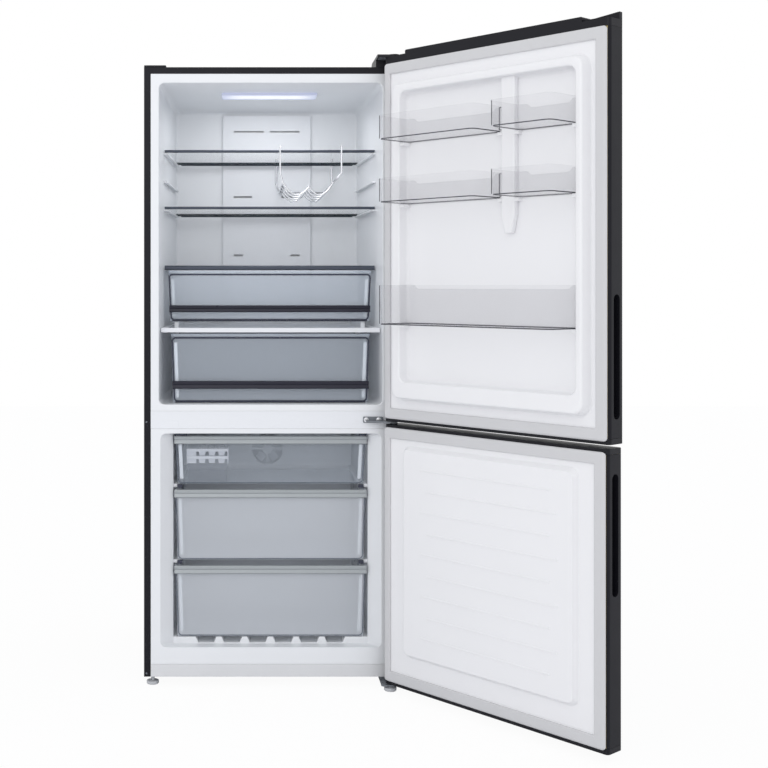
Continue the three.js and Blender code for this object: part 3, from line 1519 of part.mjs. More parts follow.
const upperDoor = hingedGroup(upperOpenAngle);
const upperPan = [upperDoorLow + capHeight, upperPanTop];
addPiece(upperDoor, "upper_door_skin", doorSkin(upperPan, upperRecess), finishes.blackSteel);
addPiece(upperDoor, "upper_door_foam", doorFoam(upperPan, upperRecess), finishes.foam);
addPiece(upperDoor, "upper_door_top_cap", topCap(upperPan[1] + fit), finishes.blackPlastic);
addPiece(upperDoor, "upper_door_bottom_cap",
  endCap([upperDoorLow, upperPan[0] - fit], [0, upperPan[0] - linerWall]), finishes.blackPlastic);
addPiece(upperDoor, "upper_door_liner", upperDoorLiner(), finishes.whitePlastic);
addPiece(upperDoor, "upper_door_gasket", gasket(upperGasket), finishes.gasketGrey);
for (const bin of bins) {
  addPiece(upperDoor, bin.name, doorBin(bin), finishes.smokyBin);
}

const lowerDoor = hingedGroup(lowerOpenAngle);
const lowerPan = [lowerDoorLow + capHeight, lowerDoorHigh - capHeight];
addPiece(lowerDoor, "lower_door_skin", doorSkin(lowerPan, lowerRecess), finishes.blackSteel);
addPiece(lowerDoor, "lower_door_foam", doorFoam(lowerPan, lowerRecess), finishes.foam);
addPiece(lowerDoor, "lower_door_top_cap",
  endCap([lowerPan[1] + fit, lowerDoorHigh], [lowerPan[1] + linerWall, cabinetTop]), finishes.blackPlastic);
addPiece(lowerDoor, "lower_door_bottom_cap",
  endCap([lowerDoorLow, lowerPan[0] - fit], [0, lowerPan[0] - linerWall / 2]), finishes.blackPlastic);
addPiece(lowerDoor, "lower_door_liner", lowerDoorLiner(), finishes.whitePlastic);
addPiece(lowerDoor, "lower_door_gasket", gasket(lowerGasket), finishes.gasketGrey);

addPiece(refrigerator, "top_hinge", topHinge(), finishes.greyPaint);
addPiece(refrigerator, "hinge_cover", hingeCover(), finishes.blackPlastic);
addPiece(refrigerator, "corner_cap", cornerCap(), finishes.blackPlastic);
addPiece(refrigerator, "middle_hinge", middleHinge(), finishes.greyPaint);
addPiece(refrigerator, "bottom_hinge", bottomHinge(), finishes.greyPaint);
addPiece(refrigerator, "left_foot",
  levellingFoot(leftFootX, leftFootY, cabinetBottom + steelSheet - fit), finishes.footGrey);
addPiece(refrigerator, "right_foot",
  levellingFoot(rightFootX, rightFootY, bottomPlateHigh - bottomPlateThickness - fit), finishes.footGrey);

// The origin moves to the middle of the bottom of the whole object's box.
const assembly = new THREE.Group();
assembly.add(refrigerator);
assembly.updateMatrixWorld(true);
const extent = new THREE.Box3().setFromObject(assembly, true);
refrigerator.position.set(
  -(extent.min.x + extent.max.x) / 2,
  -(extent.min.y + extent.max.y) / 2,
  -extent.min.z,
);

export default assembly;
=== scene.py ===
"""Looks of a bottom freezer refrigerator that stands with both doors open.

Lengths are millimetres in the cabinet's own coordinates: X = 0 is the middle of the cabinet, Y = 0
its front face, with Y going into it, and Z = 0 the floor. The pieces of a door are modelled closed
and turned with the door. The frame gives each place, and most sizes are read from its nodes.
"""

import json
import logging
import math
from collections.abc import Callable, Iterable, Sequence
from dataclasses import dataclass, field, replace
from enum import Enum

import bmesh
import bpy
from mathutils import Matrix, Vector

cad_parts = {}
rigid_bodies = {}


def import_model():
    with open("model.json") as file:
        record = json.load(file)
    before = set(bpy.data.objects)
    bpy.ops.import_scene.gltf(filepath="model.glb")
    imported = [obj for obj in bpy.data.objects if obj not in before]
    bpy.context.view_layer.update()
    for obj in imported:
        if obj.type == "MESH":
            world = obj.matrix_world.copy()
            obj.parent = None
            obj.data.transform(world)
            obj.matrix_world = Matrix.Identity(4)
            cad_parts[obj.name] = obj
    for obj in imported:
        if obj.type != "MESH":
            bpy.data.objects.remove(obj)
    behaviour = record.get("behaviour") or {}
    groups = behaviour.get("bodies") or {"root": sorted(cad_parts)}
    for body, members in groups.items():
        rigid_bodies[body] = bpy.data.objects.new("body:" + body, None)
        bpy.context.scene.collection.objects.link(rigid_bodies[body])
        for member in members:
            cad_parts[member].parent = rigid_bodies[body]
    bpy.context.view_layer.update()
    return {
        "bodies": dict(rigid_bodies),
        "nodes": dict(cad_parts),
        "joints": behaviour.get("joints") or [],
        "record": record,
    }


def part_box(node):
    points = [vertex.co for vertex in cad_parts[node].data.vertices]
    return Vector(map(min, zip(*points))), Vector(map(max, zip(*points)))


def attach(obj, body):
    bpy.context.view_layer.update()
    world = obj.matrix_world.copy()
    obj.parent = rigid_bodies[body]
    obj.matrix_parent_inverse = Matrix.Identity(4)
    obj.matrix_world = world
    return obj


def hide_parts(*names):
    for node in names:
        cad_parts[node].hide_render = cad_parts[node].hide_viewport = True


log = logging.getLogger("refrigerator")

MILLIMETRE = 0.001
WHITE = (1.0, 1.0, 1.0, 1.0)
WELD = 0.02  # points of a copied solid that are closer than this become one
RING_SEAM = 0.005  # the same where a ring closes
SPIN_SEAM = 0.01  # the same where a turned body closes
SLIVER = 0.01  # kept out of a corner radius, so that a round end still has a straight side
FLAT = 0.5  # degrees between triangles that become one face
SPIN_STEPS = 28
SCREW_HEIGHT = 0.5  # height of a screw's head, as a share of its radius
SCREW_SLOT = ((-0.7, -0.52, -0.1), (0.7, -0.4, 0.1))  # corners of its slot, as such shares
DOME_ANGLE = 0.3  # radians between the corners of its dome
DOME_STEPS = 4

Pair = tuple[float, float]
Triple = tuple[float, float, float]


# ------------------------------------------------------------------------------- shader expressions


class Value:
    """A number or a colour inside a node tree, used in plain Python expressions."""

    def __init__(self, graph: "Graph", socket: bpy.types.NodeSocket) -> None:
        """Wraps an output socket.

        Args:
            graph: The node tree that holds the socket.
            socket: The output to be used in expressions.
        """
        self.graph = graph
        self.socket = socket

    def _math(self, operation: str, first: object, second: object) -> "Value":
        """Adds one Math node and returns its result."""
        return self.graph.add("ShaderNodeMath", {"operation": operation}, {0: first, 1: second})

    def __add__(self, other: object) -> "Value":
        """Sum."""
        return self._math("ADD", self, other)

    def __radd__(self, other: object) -> "Value":
        """Sum, with the plain number first."""
        return self._math("ADD", other, self)

    def __sub__(self, other: object) -> "Value":
        """Difference."""
        return self._math("SUBTRACT", self, other)

    def __rsub__(self, other: object) -> "Value":
        """Difference, with the plain number first."""
        return self._math("SUBTRACT", other, self)

    def __mul__(self, other: object) -> "Value":
        """Product."""
        return self._math("MULTIPLY", self, other)

    def __rmul__(self, other: object) -> "Value":
        """Product, with the plain number first."""
        return self._math("MULTIPLY", other, self)

    def __abs__(self) -> "Value":
        """Absolute value."""
        return self._math("ABSOLUTE", self, 0.0)

    def __pow__(self, other: object) -> "Value":
        """Power."""
        return self._math("POWER", self, other)

    def __gt__(self, other: object) -> "Value":
        """1 where the value is larger than the other, otherwise 0."""
        return self._math("GREATER_THAN", self, other)

    def clamped(self) -> "Value":
        """The value kept between 0 and 1."""
        return self._math("MINIMUM", self._math("MAXIMUM", self, 0.0), 1.0)


class Graph:
    """The node tree of one material or of the world."""

    def __init__(self, tree: bpy.types.NodeTree) -> None:
        """Empties the tree.

        Args:
            tree: The node tree to be filled.
        """
        tree.nodes.clear()
        self.tree = tree

    def add(
        self,
        kind: str,
        settings: dict[str, object] | None = None,
        inputs: dict[object, object] | None = None,
        output: object = 0,
    ) -> Value:
        """Adds a node of any type.

        Args:
            kind: Blender's name of the node type.
            settings: Properties of the node, set before its inputs.
            inputs: Input sockets by name or number, each a Value to link or a plain value to set.
            output: Name or number of the output to return.

        Returns:
            The chosen output.
        """
        node = self.tree.nodes.new(kind)
        for name, value in (settings or {}).items():
            setattr(node, name, value)
        for key, value in (inputs or {}).items():
            if isinstance(value, Value):
                self.tree.links.new(value.socket, node.inputs[key])
            else:
                node.inputs[key].default_value = value
        sockets = node.outputs
        return Value(self, sockets[output] if len(sockets) else None)

    def place(self) -> Value:
        """Coordinates of the object, in metres."""
        return self.add("ShaderNodeTexCoord", output="Object")

    def noise(self, scale: float, detail: float = 2.0, stretch: Triple = (1.0, 1.0, 1.0)) -> Value:
        """Smooth noise from 0 to 1.

        Args:
            scale: Patches in a metre.
            detail: Finer octaves.
            stretch: Scale along each axis before the noise.

        Returns:
            The noise as a number.
        """
        place = self.add("ShaderNodeMapping", {}, {"Vector": self.place(), "Scale": stretch})
        inputs = {"Vector": place, "Scale": scale, "Detail": detail}
        return self.add("ShaderNodeTexNoise", {}, inputs)

    def blend(self, share: Value, first: object, second: object) -> Value:
        """Mix of two colours.

        Args:
            share: 0 for the first colour, 1 for the second.
            first: The first colour.
            second: The second colour.

        Returns:
            The mixed colour.
        """
        settings = {"data_type": "RGBA"}
        return self.add("ShaderNodeMix", settings, {0: share, 6: first, 7: second}, output=2)

    def bump(self, height: Value, distance: float, strength: float = 1.0) -> Value:
        """A normal tilted by a height pattern.

        Args:
            height: The pattern, from 0 to 1.
            distance: Height of the pattern in millimetres.
            strength: How much of it shows.

        Returns:
            The normal.
        """
        inputs = {"Height": height, "Distance": distance * MILLIMETRE, "Strength": strength}
        return self.add("ShaderNodeBump", {}, inputs)

    def surface(self, inputs: dict[str, object]) -> None:
        """Ends the tree in a Principled shader.

        Args:
            inputs: The shader's sockets by name.
        """
        shader = self.add("ShaderNodeBsdfPrincipled", {}, inputs)
        self.add("ShaderNodeOutputMaterial", {}, {"Surface": shader})


def linear(red: float, green: float, blue: float) -> tuple[float, float, float, float]:
    """A colour from screen values of 0 to 255.

    Args:
        red: Red on the screen.
        green: Green on the screen.
        blue: Blue on the screen.

    Returns:
        The colour in linear light, with an alpha of 1.
    """
    shares = [value / 255 for value in (red, green, blue)]
    light = [s / 12.92 if s <= 0.04045 else ((s + 0.055) / 1.055) ** 2.4 for s in shares]
    return (light[0], light[1], light[2], 1.0)


def dimmed(color: Sequence[float], share: float) -> tuple[float, float, float, float]:
    """A darker or lighter form of a linear colour.

    Args:
        color: The linear colour.
        share: What is left of it.

    Returns:
        The changed colour.
    """
    return (color[0] * share, color[1] * share, color[2] * share, 1.0)


# ----------------------------------------------------------------------------------------- finishes


@dataclass(frozen=True)
class Finish:
    """Moulded plastic: even colour with slight clouding, and a fine grained surface.

    Attributes:
        label: Name of the material.
        slot: The record's material slot.
        shade: Colour on the screen, 0 to 255.
        roughness: Mean roughness.
        clouding: Share of the colour lost in the darkest patches.
        grain: Height of the fine grain in millimetres.
        grain_scale: Grains in a metre.
        shine: Strength of its reflection.
        clouds: Clouds in a metre.
        patches: Patches of uneven gloss in a metre.
        unevenness: How much the roughness varies over them.
    """

    label: str
    slot: str
    shade: Triple
    roughness: float = 0.45
    clouding: float = 0.03
    grain: float = 0.02
    grain_scale: float = 1400.0
    shine: float = 0.5
    clouds: float = 7.0
    patches: float = 23.0
    unevenness: float = 0.14

    def material(self) -> bpy.types.Material:
        """The material, made once and then found by its name.

        Returns:
            The material.
        """
        name = f"{self.label}_finish"
        known = bpy.data.materials.get(name)
        if known:
            return known
        material = bpy.data.materials.new(name)
        material.use_nodes = True
        self.draw(Graph(material.node_tree))
        return material

    def color(self, graph: Graph) -> Value:
        """Base colour with slow clouding."""
        base = linear(*self.shade)
        return graph.blend(graph.noise(self.clouds), base, dimmed(base, 1 - self.clouding))

    def gloss(self, graph: Graph) -> Value:
        """Roughness with faint uneven patches, as from handling."""
        return self.roughness + (graph.noise(self.patches, 4.0) - 0.5) * self.unevenness

    def relief(self, graph: Graph) -> Value:
        """The fine grain as a normal."""
        return graph.bump(graph.noise(self.grain_scale, 1.0), self.grain)

    def draw(self, graph: Graph) -> None:
        """Fills the node tree.

        Args:
            graph: The material's node tree.
        """
        graph.surface(
            {
                "Base Color": self.color(graph),
                "Roughness": self.gloss(graph),
                "Specular IOR Level": self.shine,
                "Normal": self.relief(graph),
            }
        )


@dataclass(frozen=True)
class Metal(Finish):
    """Bare or plated metal with fine scratches along one direction.

    Attributes:
        metallic: Share of metal in the shader.
        scratches: Scratches in a metre, and their finer octaves.
        stretch: Scale along each axis before the scratches.
        tones: Shares of the colour inside and between the scratches.
        dullness: Roughness that the scratches add.
    """

    metallic: float = 1.0
    scratches: Pair = (90.0, 6.0)
    stretch: Triple = (1.0, 30.0, 30.0)
    tones: Pair = (0.8, 1.08)
    dullness: float = 0.1

    def draw(self, graph: Graph) -> None:
        """Fills the node tree.

        Args:
            graph: The material's node tree.
        """
        scratches = graph.noise(*self.scratches, self.stretch)
        dark, light = (dimmed(linear(*self.shade), tone) for tone in self.tones)
        graph.surface(
            {
                "Base Color": graph.blend(scratches, dark, light),
                "Roughness": self.gloss(graph) + scratches * self.dullness,
                "Metallic": self.metallic,
                "Specular IOR Level": self.shine,
                "Normal": graph.bump(scratches, self.grain),
            }
        )


@dataclass(frozen=True)
class PaintedSteel(Metal):
    """Coated sheet with a faint upright brush."""

    metallic: float = 0.1
    scratches: Pair = (14.0, 5.0)
    stretch: Triple = (60.0, 60.0, 1.0)
    tones: Pair = (0.86, 1.12)
    dullness: float = 0.08


@dataclass(frozen=True)
class ClearMoulding(Finish):
    """See-through plastic that looks denser where it is seen at a slant.

    Attributes:
        opacity: Alpha seen straight on.
        edge_opacity: Alpha seen at a slant.
        falloff: How late the alpha grows towards a slant.
        waves: Slow waves that moulding leaves in a metre.
        waviness: Height of these waves in millimetres.
    """

    shine: float = 0.6
    opacity: float = 0.3
    edge_opacity: float = 0.6
    falloff: float = 4.0
    waves: float = 16.0
    waviness: float = 0.25

    def draw(self, graph: Graph) -> None:
        """Fills the node tree.

        Args:
            graph: The material's node tree.
        """
        slant = graph.add("ShaderNodeLayerWeight", {}, {"Blend": 0.3}, output="Facing")
        denser = self.edge_opacity - self.opacity
        graph.surface(
            {
                "Base Color": self.color(graph),
                "Roughness": self.gloss(graph),
                "Alpha": self.opacity + (slant**self.falloff) * denser,
                "Specular IOR Level": self.shine,
                "Normal": graph.bump(graph.noise(self.waves, 1.0), self.waviness),
            }
        )


@dataclass(frozen=True)
class PlateGlass(Finish):
    """Toughened plate: clear through its faces and green along its cut edges.

    Attributes:
        opacity: Alpha of its faces.
        edge_opacity: What its cut edges add to that.
        edge_shade: Colour of its cut edges on the screen.
        waves: Slow waves in a metre.
        waviness: Height of these waves in millimetres.
    """

    shine: float = 0.7
    opacity: float = 0.2
    edge_opacity: float = 0.25
    edge_shade: Triple = (120.0, 150.0, 145.0)
    waves: float = 9.0
    waviness: float = 0.05

    def draw(self, graph: Graph) -> None:
        """Fills the node tree.

        Args:
            graph: The material's node tree.
        """
        normal = graph.add("ShaderNodeNewGeometry", output="True Normal")
        upright = abs(graph.add("ShaderNodeSeparateXYZ", {}, {0: normal}, output="Z"))
        edge = 1.0 - (upright > 0.5)
        graph.surface(
            {
                "Base Color": graph.blend(edge, self.color(graph), linear(*self.edge_shade)),
                "Roughness": self.gloss(graph),
                "Alpha": (edge * self.edge_opacity + self.opacity).clamped(),
                "Specular IOR Level": self.shine,
                "Normal": graph.bump(graph.noise(self.waves, 1.0), self.waviness),
            }
        )


@dataclass(frozen=True)
class LitLens(Finish):
    """Milky lens that glows in its middle and fades to its ends and edges.

    Attributes:
        strength: Brightness.
        middle: Its middle along X and Y, in metres.
        reach: From its middle to its ends and edges, in metres.
        sharpness: How fast the light fades before the ends and edges.
        rest: Colour of the faded part.
        body: Share of that colour that the lens has when it isn't lit.
    """

    strength: float = 1.0
    middle: Pair = (-0.23, 0.18)
    reach: Pair = (0.142, 0.046)
    sharpness: Pair = (2.6, 1.5)
    rest: Triple = (176.0, 182.0, 206.0)
    body: float = 0.3

    def draw(self, graph: Graph) -> None:
        """Fills the node tree.

        Args:
            graph: The material's node tree.
        """
        glow: Value | float = 1.0
        for axis, middle, reach, sharpness in zip("XY", self.middle, self.reach, self.sharpness):
            along = graph.add("ShaderNodeSeparateXYZ", {}, {0: graph.place()}, output=axis)
            away = abs((along - middle) * (1 / reach))
            glow = ((1.0 - away) * sharpness).clamped() * glow
        rest = linear(*self.rest)
        graph.surface(
            {
                "Base Color": dimmed(rest, self.body),
                "Roughness": self.gloss(graph),
                "Emission Color": graph.blend(glow, rest, linear(*self.shade)),
                "Emission Strength": self.strength,
                "Normal": self.relief(graph),
            }
        )


@dataclass(frozen=True)
class Foam(Finish):
    """Rigid insulation with an open, blistered skin.

    Attributes:
        cells: Cells in a metre.
        tone: Share of the colour between the cells.
        depth: Depth of a cell in millimetres.
    """

    cells: float = 260.0
    tone: float = 0.7
    depth: float = 0.6

    def draw(self, graph: Graph) -> None:
        """Fills the node tree.

        Args:
            graph: The material's node tree.
        """
        inputs = {"Vector": graph.place(), "Scale": self.cells}
        cells = graph.add("ShaderNodeTexVoronoi", {}, inputs)
        base = linear(*self.shade)
        graph.surface(
            {
                "Base Color": graph.blend(cells, base, dimmed(base, self.tone)),
                "Roughness": self.gloss(graph),
                "Normal": graph.bump(cells, self.depth),
            }
        )


class Look(Enum):
    """The finishes of the refrigerator."""

    BLACK_STEEL = PaintedSteel(
        "black_steel", "black_steel", (25, 25, 31), 0.36, grain=0.01, shine=0.2
    )
    BLACK_PLASTIC = Finish("black_plastic", "black_plastic", (20, 20, 27), 0.4, 0.1, shine=0.25)
    WHITE_LINING = Finish("white_lining", "white_plastic", (238, 240, 243), 0.34, 0.02)
    DOOR_WHITE = Finish("door_white", "white_plastic", (240, 240, 242), 0.4, 0.015)
    COVER_WHITE = Finish("cover_white", "white_plastic", (236, 238, 242), 0.4, 0.02)
    KICK_GREY = Finish("kick_grey", "kick_plastic", (224, 225, 227), 0.5, 0.03)
    FOAM = Foam("insulation_foam", "foam", (214, 196, 140), 0.9)
    ZINC = Metal("zinc_sheet", "zinc_steel", (150, 154, 158), 0.42, stretch=(3.0, 3.0, 3.0))
    GREY_PAINT = PaintedSteel("grey_paint", "grey_paint", (122, 126, 132), 0.42, metallic=0.4)
    COMPRESSOR = Finish("compressor_black", "compressor_black", (24, 24, 26), 0.35, 0.2, 0.05, 500)
    FINS = Metal("aluminium_fins", "aluminium", (196, 200, 205), 0.35)
    LAMP = LitLens("lamp_lens", "lamp", (244, 247, 255), 0.4, strength=0.9)
    GLASS = PlateGlass("shelf_glass", "glass", (206, 216, 222), 0.06, opacity=0.1)
    DARK_TRIM = Metal("dark_trim", "dark_trim", (74, 80, 92), 0.3, metallic=0.5)
    CHROME = Metal("chrome_wire", "chrome_wire", (246, 247, 250), 0.16, grain=0.002, metallic=0.7)
    CLEAR_TUB = ClearMoulding(
        "clear_tub", "clear_tub", (226, 236, 248), 0.1, opacity=0.33, edge_opacity=0.5
    )
    # On the crispers' front lines this navy is painted shade of the clear walls' dark edges; the
    # freezer clips use it too.
    TUB_EDGE = Finish("tub_edge", "clear_tub", (46, 50, 68), 0.25, 0.1)
    TUB_SIDE = Finish("tub_side", "clear_tub", (236, 240, 245), 0.3, 0.03)
    # Navy of the crisper grips; the crispers' foot strips use it as painted shadow.
    NAVY_BAND = Finish("navy_band", "navy_band", (36, 36, 50), 0.3, 0.1, shine=0.3)
    NAVY_TRIM = Finish("navy_trim", "dark_trim", (44, 52, 66), 0.35, 0.1, shine=0.3)
    SATIN_BAND = Metal("satin_band", "satin_band", (170, 175, 178), 0.34, metallic=0.4, grain=0.01)
    CLEAR_DRAWER = ClearMoulding("clear_drawer", "grey_tub", (206, 216, 228), 0.14, opacity=0.27)
    GREY_TUB = ClearMoulding(
        "grey_tub", "grey_tub", (228, 233, 240), 0.14, opacity=0.55, edge_opacity=0.7
    )
    ICE_BOX = ClearMoulding("ice_box", "grey_tub", (150, 156, 168), 0.14, opacity=0.12)
    DRAWER_EDGE = Finish("drawer_edge", "grey_tub", (96, 104, 116), 0.25, 0.1)
    ICE_WHITE = Finish("ice_white", "ice_white", (220, 223, 230), 0.45, 0.05)
    SMOKY_BIN = ClearMoulding(
        "smoky_bin", "smoky_bin", (168, 168, 174), 0.08, opacity=0.12, edge_opacity=0.5
    )
    # Dark lines on the bins' foot, corner and hook: painted shade of the smoky plastic's edges.
    BIN_EDGE_SHADE = Finish("bin_edge", "smoky_bin", (70, 71, 78), 0.2, 0.1)
    SEAL = Finish("seal_grey", "gasket_grey", (210, 210, 212), 0.6, 0.05, 0.04, 700)
    FOOT = Finish("foot_grey", "foot_grey", (200, 202, 206), 0.55, 0.08)
    SCREW = Metal(
        "screw_steel", "zinc_steel", (238, 239, 242), 0.3, stretch=(1.0, 1.0, 1.0), metallic=0.3
    )


# ----------------------------------------------------------------------------------- places, forms


class Axis(Enum):
    """The direction along which a form is built, with the matrix that turns Z to it."""

    ACROSS = Matrix(((0, 0, 1, 0), (1, 0, 0, 0), (0, 1, 0, 0), (0, 0, 0, 1)))
    INWARD = Matrix(((1, 0, 0, 0), (0, 0, 1, 0), (0, 1, 0, 0), (0, 0, 0, 1)))
    UP = Matrix.Identity(4)


@dataclass(frozen=True)
class Station:
    """A rounded rectangle of a loft.

    Attributes:
        across: Its two ends along the first direction.
        up: Its two ends along the second direction.
        radius: Its corner radius.
        along: Its place on the axis.
    """

    across: Pair
    up: Pair
    radius: float
    along: float

    def inset(self, amount: float, along: float) -> "Station":
        """The same rectangle drawn in on all sides, elsewhere on the axis.

        Args:
            amount: How far each side moves in.
            along: The new place on the axis.

        Returns:
            The new station.
        """
        across = (self.across[0] + amount, self.across[1] - amount)
        up = (self.up[0] + amount, self.up[1] - amount)
        return Station(across, up, max(self.radius - amount, 0.5), along)

    def round(self, amount: float, rise: float, steps: int = 4) -> list["Station"]:
        """A quarter round that starts along the axis and ends square to it.

        Args:
            amount: How far it moves in, or out where it is negative.
            rise: How far it goes along the axis.
            steps: Straight steps in it.

        Returns:
            The stations after this one.
        """
        stations = []
        for i in range(1, steps + 1):
            angle = math.pi / 2 * i / steps
            share = 1 - math.cos(angle)
            stations.append(self.inset(amount * share, self.along + rise * math.sin(angle)))
        return stations

    def moved(self, along: float, draft: float = 0.0) -> "Station":
        """The same rectangle further along the axis, drawn in by its draft."""
        return self.inset(draft, along)

    @property
    def corner(self) -> float:
        """The corner radius that fits the rectangle."""
        size = min(self.across[1] - self.across[0], self.up[1] - self.up[0])
        return min(self.radius, size / 2 - SLIVER)

    def carry(self, point: Vector, there: "Station") -> Vector:
        """Takes a point of this outline to the same place on another.

        Args:
            point: The point, as distances across, up and along.
            there: The other rectangle.

        Returns:
            The point on the other rectangle.
        """
        share = there.corner / self.corner
        places = []
        for at, old, new in ((point.x, self.across, there.across), (point.y, self.up, there.up)):
            if at < sum(old) / 2:
                places.append(new[0] + there.corner + (at - old[0] - self.corner) * share)
            else:
                places.append(new[1] - there.corner + (at - old[1] + self.corner) * share)
        return Vector((places[0], places[1], there.along))


class Place:
    """A set of coordinates in the row frame: the cabinet's, or those of a closed door."""

    def __init__(self, body: str, turn: Matrix | None = None) -> None:
        """Finds the cabinet's corner in the frame.

        Args:
            body: The body that the pieces made here ride on.
            turn: The turn from closed to rest, in metres, for a door.
        """
        low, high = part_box("cabinet_shell")
        origin = Matrix.Translation(((low.x + high.x) / 2, low.y, 0.0))
        self.body = body
        self.matrix = (turn or Matrix.Identity(4)) @ origin @ Matrix.Scale(MILLIMETRE, 4)

    def extent(self, frame: dict, node: str) -> tuple[Vector, Vector]:
        """Lowest and highest corner of a node in this place's millimetres.

        Args:
            frame: The loaded frame.
            node: The node's name.

        Returns:
            The two corners.
        """
        back = self.matrix.inverted()
        corners = [back @ vertex.co for vertex in frame["nodes"][node].data.vertices]
        low = Vector([min(c[i] for c in corners) for i in range(3)])
        high = Vector([max(c[i] for c in corners) for i in range(3)])
        return low, high


def door_place(frame: dict, door: str, body: str = "") -> Place:
    """The coordinates of a closed door.

    Args:
        frame: The loaded frame.
        door: The door's body.
        body: The body that the pieces ride on, where it isn't the door itself.

    Returns:
        The place, turned about the door's hinge to where the door stands.
    """
    joints = frame["record"]["behaviour"]["joints"]
    joint = next(j for j in joints if j["child"] == door)
    pivot = Matrix.Translation(joint["pos_m"])
    opened = math.radians(-joint["range_deg"][0])
    return Place(body or door, pivot @ Matrix.Rotation(opened, 4, "Z") @ pivot.inverted())


def stand(name: str, data: bpy.types.ID) -> bpy.types.Object:
    """Makes an object and puts it into the scene.

    Args:
        name: Its name.
        data: Its mesh, camera or lamp.

    Returns:
        The object.
    """
    made = bpy.data.objects.new(name, data)
    bpy.context.scene.collection.objects.link(made)
    return made


class Form:
    """A mesh in the making, in millimetres."""

    def __init__(self) -> None:
        """Starts empty."""
        self.mesh = bmesh.new()

    def _outline(self, station: Station, axis: Axis, segments: int) -> list[bmesh.types.BMEdge]:
        """Draws a rounded rectangle.

        Args:
            station: The rectangle.
            axis: The direction that it faces.
            segments: Straight steps in each round corner.

        Returns:
            Its edges.
        """
        size = (station.across[1] - station.across[0], station.up[1] - station.up[0])
        middle = (sum(station.across) / 2, sum(station.up) / 2, station.along)
        matrix = (
            axis.value @ Matrix.Translation(middle) @ Matrix.Diagonal((size[0], size[1], 1.0, 1.0))
        )
        made = bmesh.ops.create_grid(self.mesh, x_segments=1, y_segments=1, size=0.5, matrix=matrix)
        made = bmesh.ops.bevel(
            self.mesh,
            geom=made["verts"],
            offset=station.corner,
            segments=segments,
            profile=0.5,
            affect="VERTICES",
            material=-1,
        )
        face = made["verts"][0].link_faces[0]
        edges = list(face.edges)
        bmesh.ops.delete(self.mesh, geom=[face], context="FACES_ONLY")
        return edges

    def loft(
        self,
        stations: Sequence[Station],
        axis: Axis = Axis.UP,
        segments: int = 6,
        closed: bool = False,
        mouth: bool = False,
    ) -> "Form":
        """A skin through rounded rectangles, with flat ends or joined into a ring.

        Args:
            stations: The rectangles in order.
            axis: The direction along which they are set.
            segments: Straight steps in each round corner.
            closed: Whether the last one joins the first, as in a frame.
            mouth: Whether the first one stays open, as in a thin tub.

        Returns:
            The form itself.
        """
        first = self._outline(stations[0], axis, segments)
        order = [*stations, stations[0]] if closed else stations
        edges = first
        for here, there in zip(order, order[1:]):
            made = bmesh.ops.extrude_edge_only(self.mesh, edges=edges)["geom"]
            points = [item for item in made if isinstance(item, bmesh.types.BMVert)]
            reached = set(points)
            for point in points:
                place = here.carry(axis.value.inverted() @ point.co, there)
                point.co = axis.value @ place
            edges = [
                item
                for item in made
                if isinstance(item, bmesh.types.BMEdge) and reached.issuperset(item.verts)
            ]
        if closed:
            ends = list({point for edge in first + edges for point in edge.verts})
            bmesh.ops.remove_doubles(self.mesh, verts=ends, dist=RING_SEAM)
        else:
            for end in (edges,) if mouth else (first, edges):
                bmesh.ops.contextual_create(self.mesh, geom=end)
        return self

    def copied(self, frame: dict, node: str, place: Place) -> "Form":
        """Takes a node's solid, welded, with its flat triangles joined into whole faces.

        Args:
            frame: The loaded frame.
            node: The node's name.
            place: Where the piece is.

        Returns:
            The form itself.
        """
        self.mesh.from_mesh(frame["nodes"][node].data)
        bmesh.ops.transform(self.mesh, matrix=place.matrix.inverted(), verts=self.mesh.verts)
        bmesh.ops.remove_doubles(self.mesh, verts=self.mesh.verts, dist=WELD)
        bmesh.ops.dissolve_limit(
            self.mesh,
            angle_limit=math.radians(FLAT),
            use_dissolve_boundaries=False,
            verts=self.mesh.verts,
            edges=self.mesh.edges,
        )
        return self

    def hoop(
        self, outer: Station, width: float, height: float, axis: Axis, soft: float = 0.3
    ) -> "Form":
        """A flat frame that follows a rounded rectangle.

        Args:
            outer: Its outer outline, at its lower side.
            width: Width of the frame.
            height: Its height along the axis.
            axis: The direction of its height.
            soft: Its softened outer edges.

        Returns:
            The form itself.
        """
        top = outer.along + height
        stations = [
            outer,
            outer.inset(0, top - soft),
            outer.inset(soft, top),
            outer.inset(width - soft, top),
            outer.inset(width, top - soft),
            outer.inset(width, outer.along),
        ]
        return self.loft(stations, axis, closed=True)

    def block(self, low: Sequence[float], high: Sequence[float], soft: float = 0.0) -> "Form":
        """A block with softened edges.

        Args:
            low: Its lowest corner.
            high: Its highest corner.
            soft: Radius of its edges.

        Returns:
            The form itself.
        """
        size = [b - a for a, b in zip(low, high)]
        middle = [(a + b) / 2 for a, b in zip(low, high)]
        matrix = Matrix.Translation(middle) @ Matrix.Diagonal((*size, 1.0))
        made = bmesh.ops.create_cube(self.mesh, size=1.0, matrix=matrix)
        if soft > 0:
            edges = list({edge for vertex in made["verts"] for edge in vertex.link_edges})
            self.bevel(edges, soft)
        return self

    def absorb(self, other: "Form") -> "Form":
        """Takes over another form's faces.

        Args:
            other: The other form, which is used up.

        Returns:
            The form itself.
        """
        data = bpy.data.meshes.new("absorbed")
        other.mesh.to_mesh(data)
        other.mesh.free()
        self.mesh.from_mesh(data)
        bpy.data.meshes.remove(data)
        return self

    def bevel(self, edges: Iterable[bmesh.types.BMEdge], width: float, segments: int = 3) -> "Form":
        """Rounds some edges.

        Args:
            edges: The edges.
            width: Radius.
            segments: Straight steps in each round.

        Returns:
            The form itself.
        """
        bmesh.ops.bevel(
            self.mesh,
            geom=list(edges),
            offset=width,
            segments=segments,
            profile=0.5,
            affect="EDGES",
            clamp_overlap=True,
            material=-1,
        )
        return self

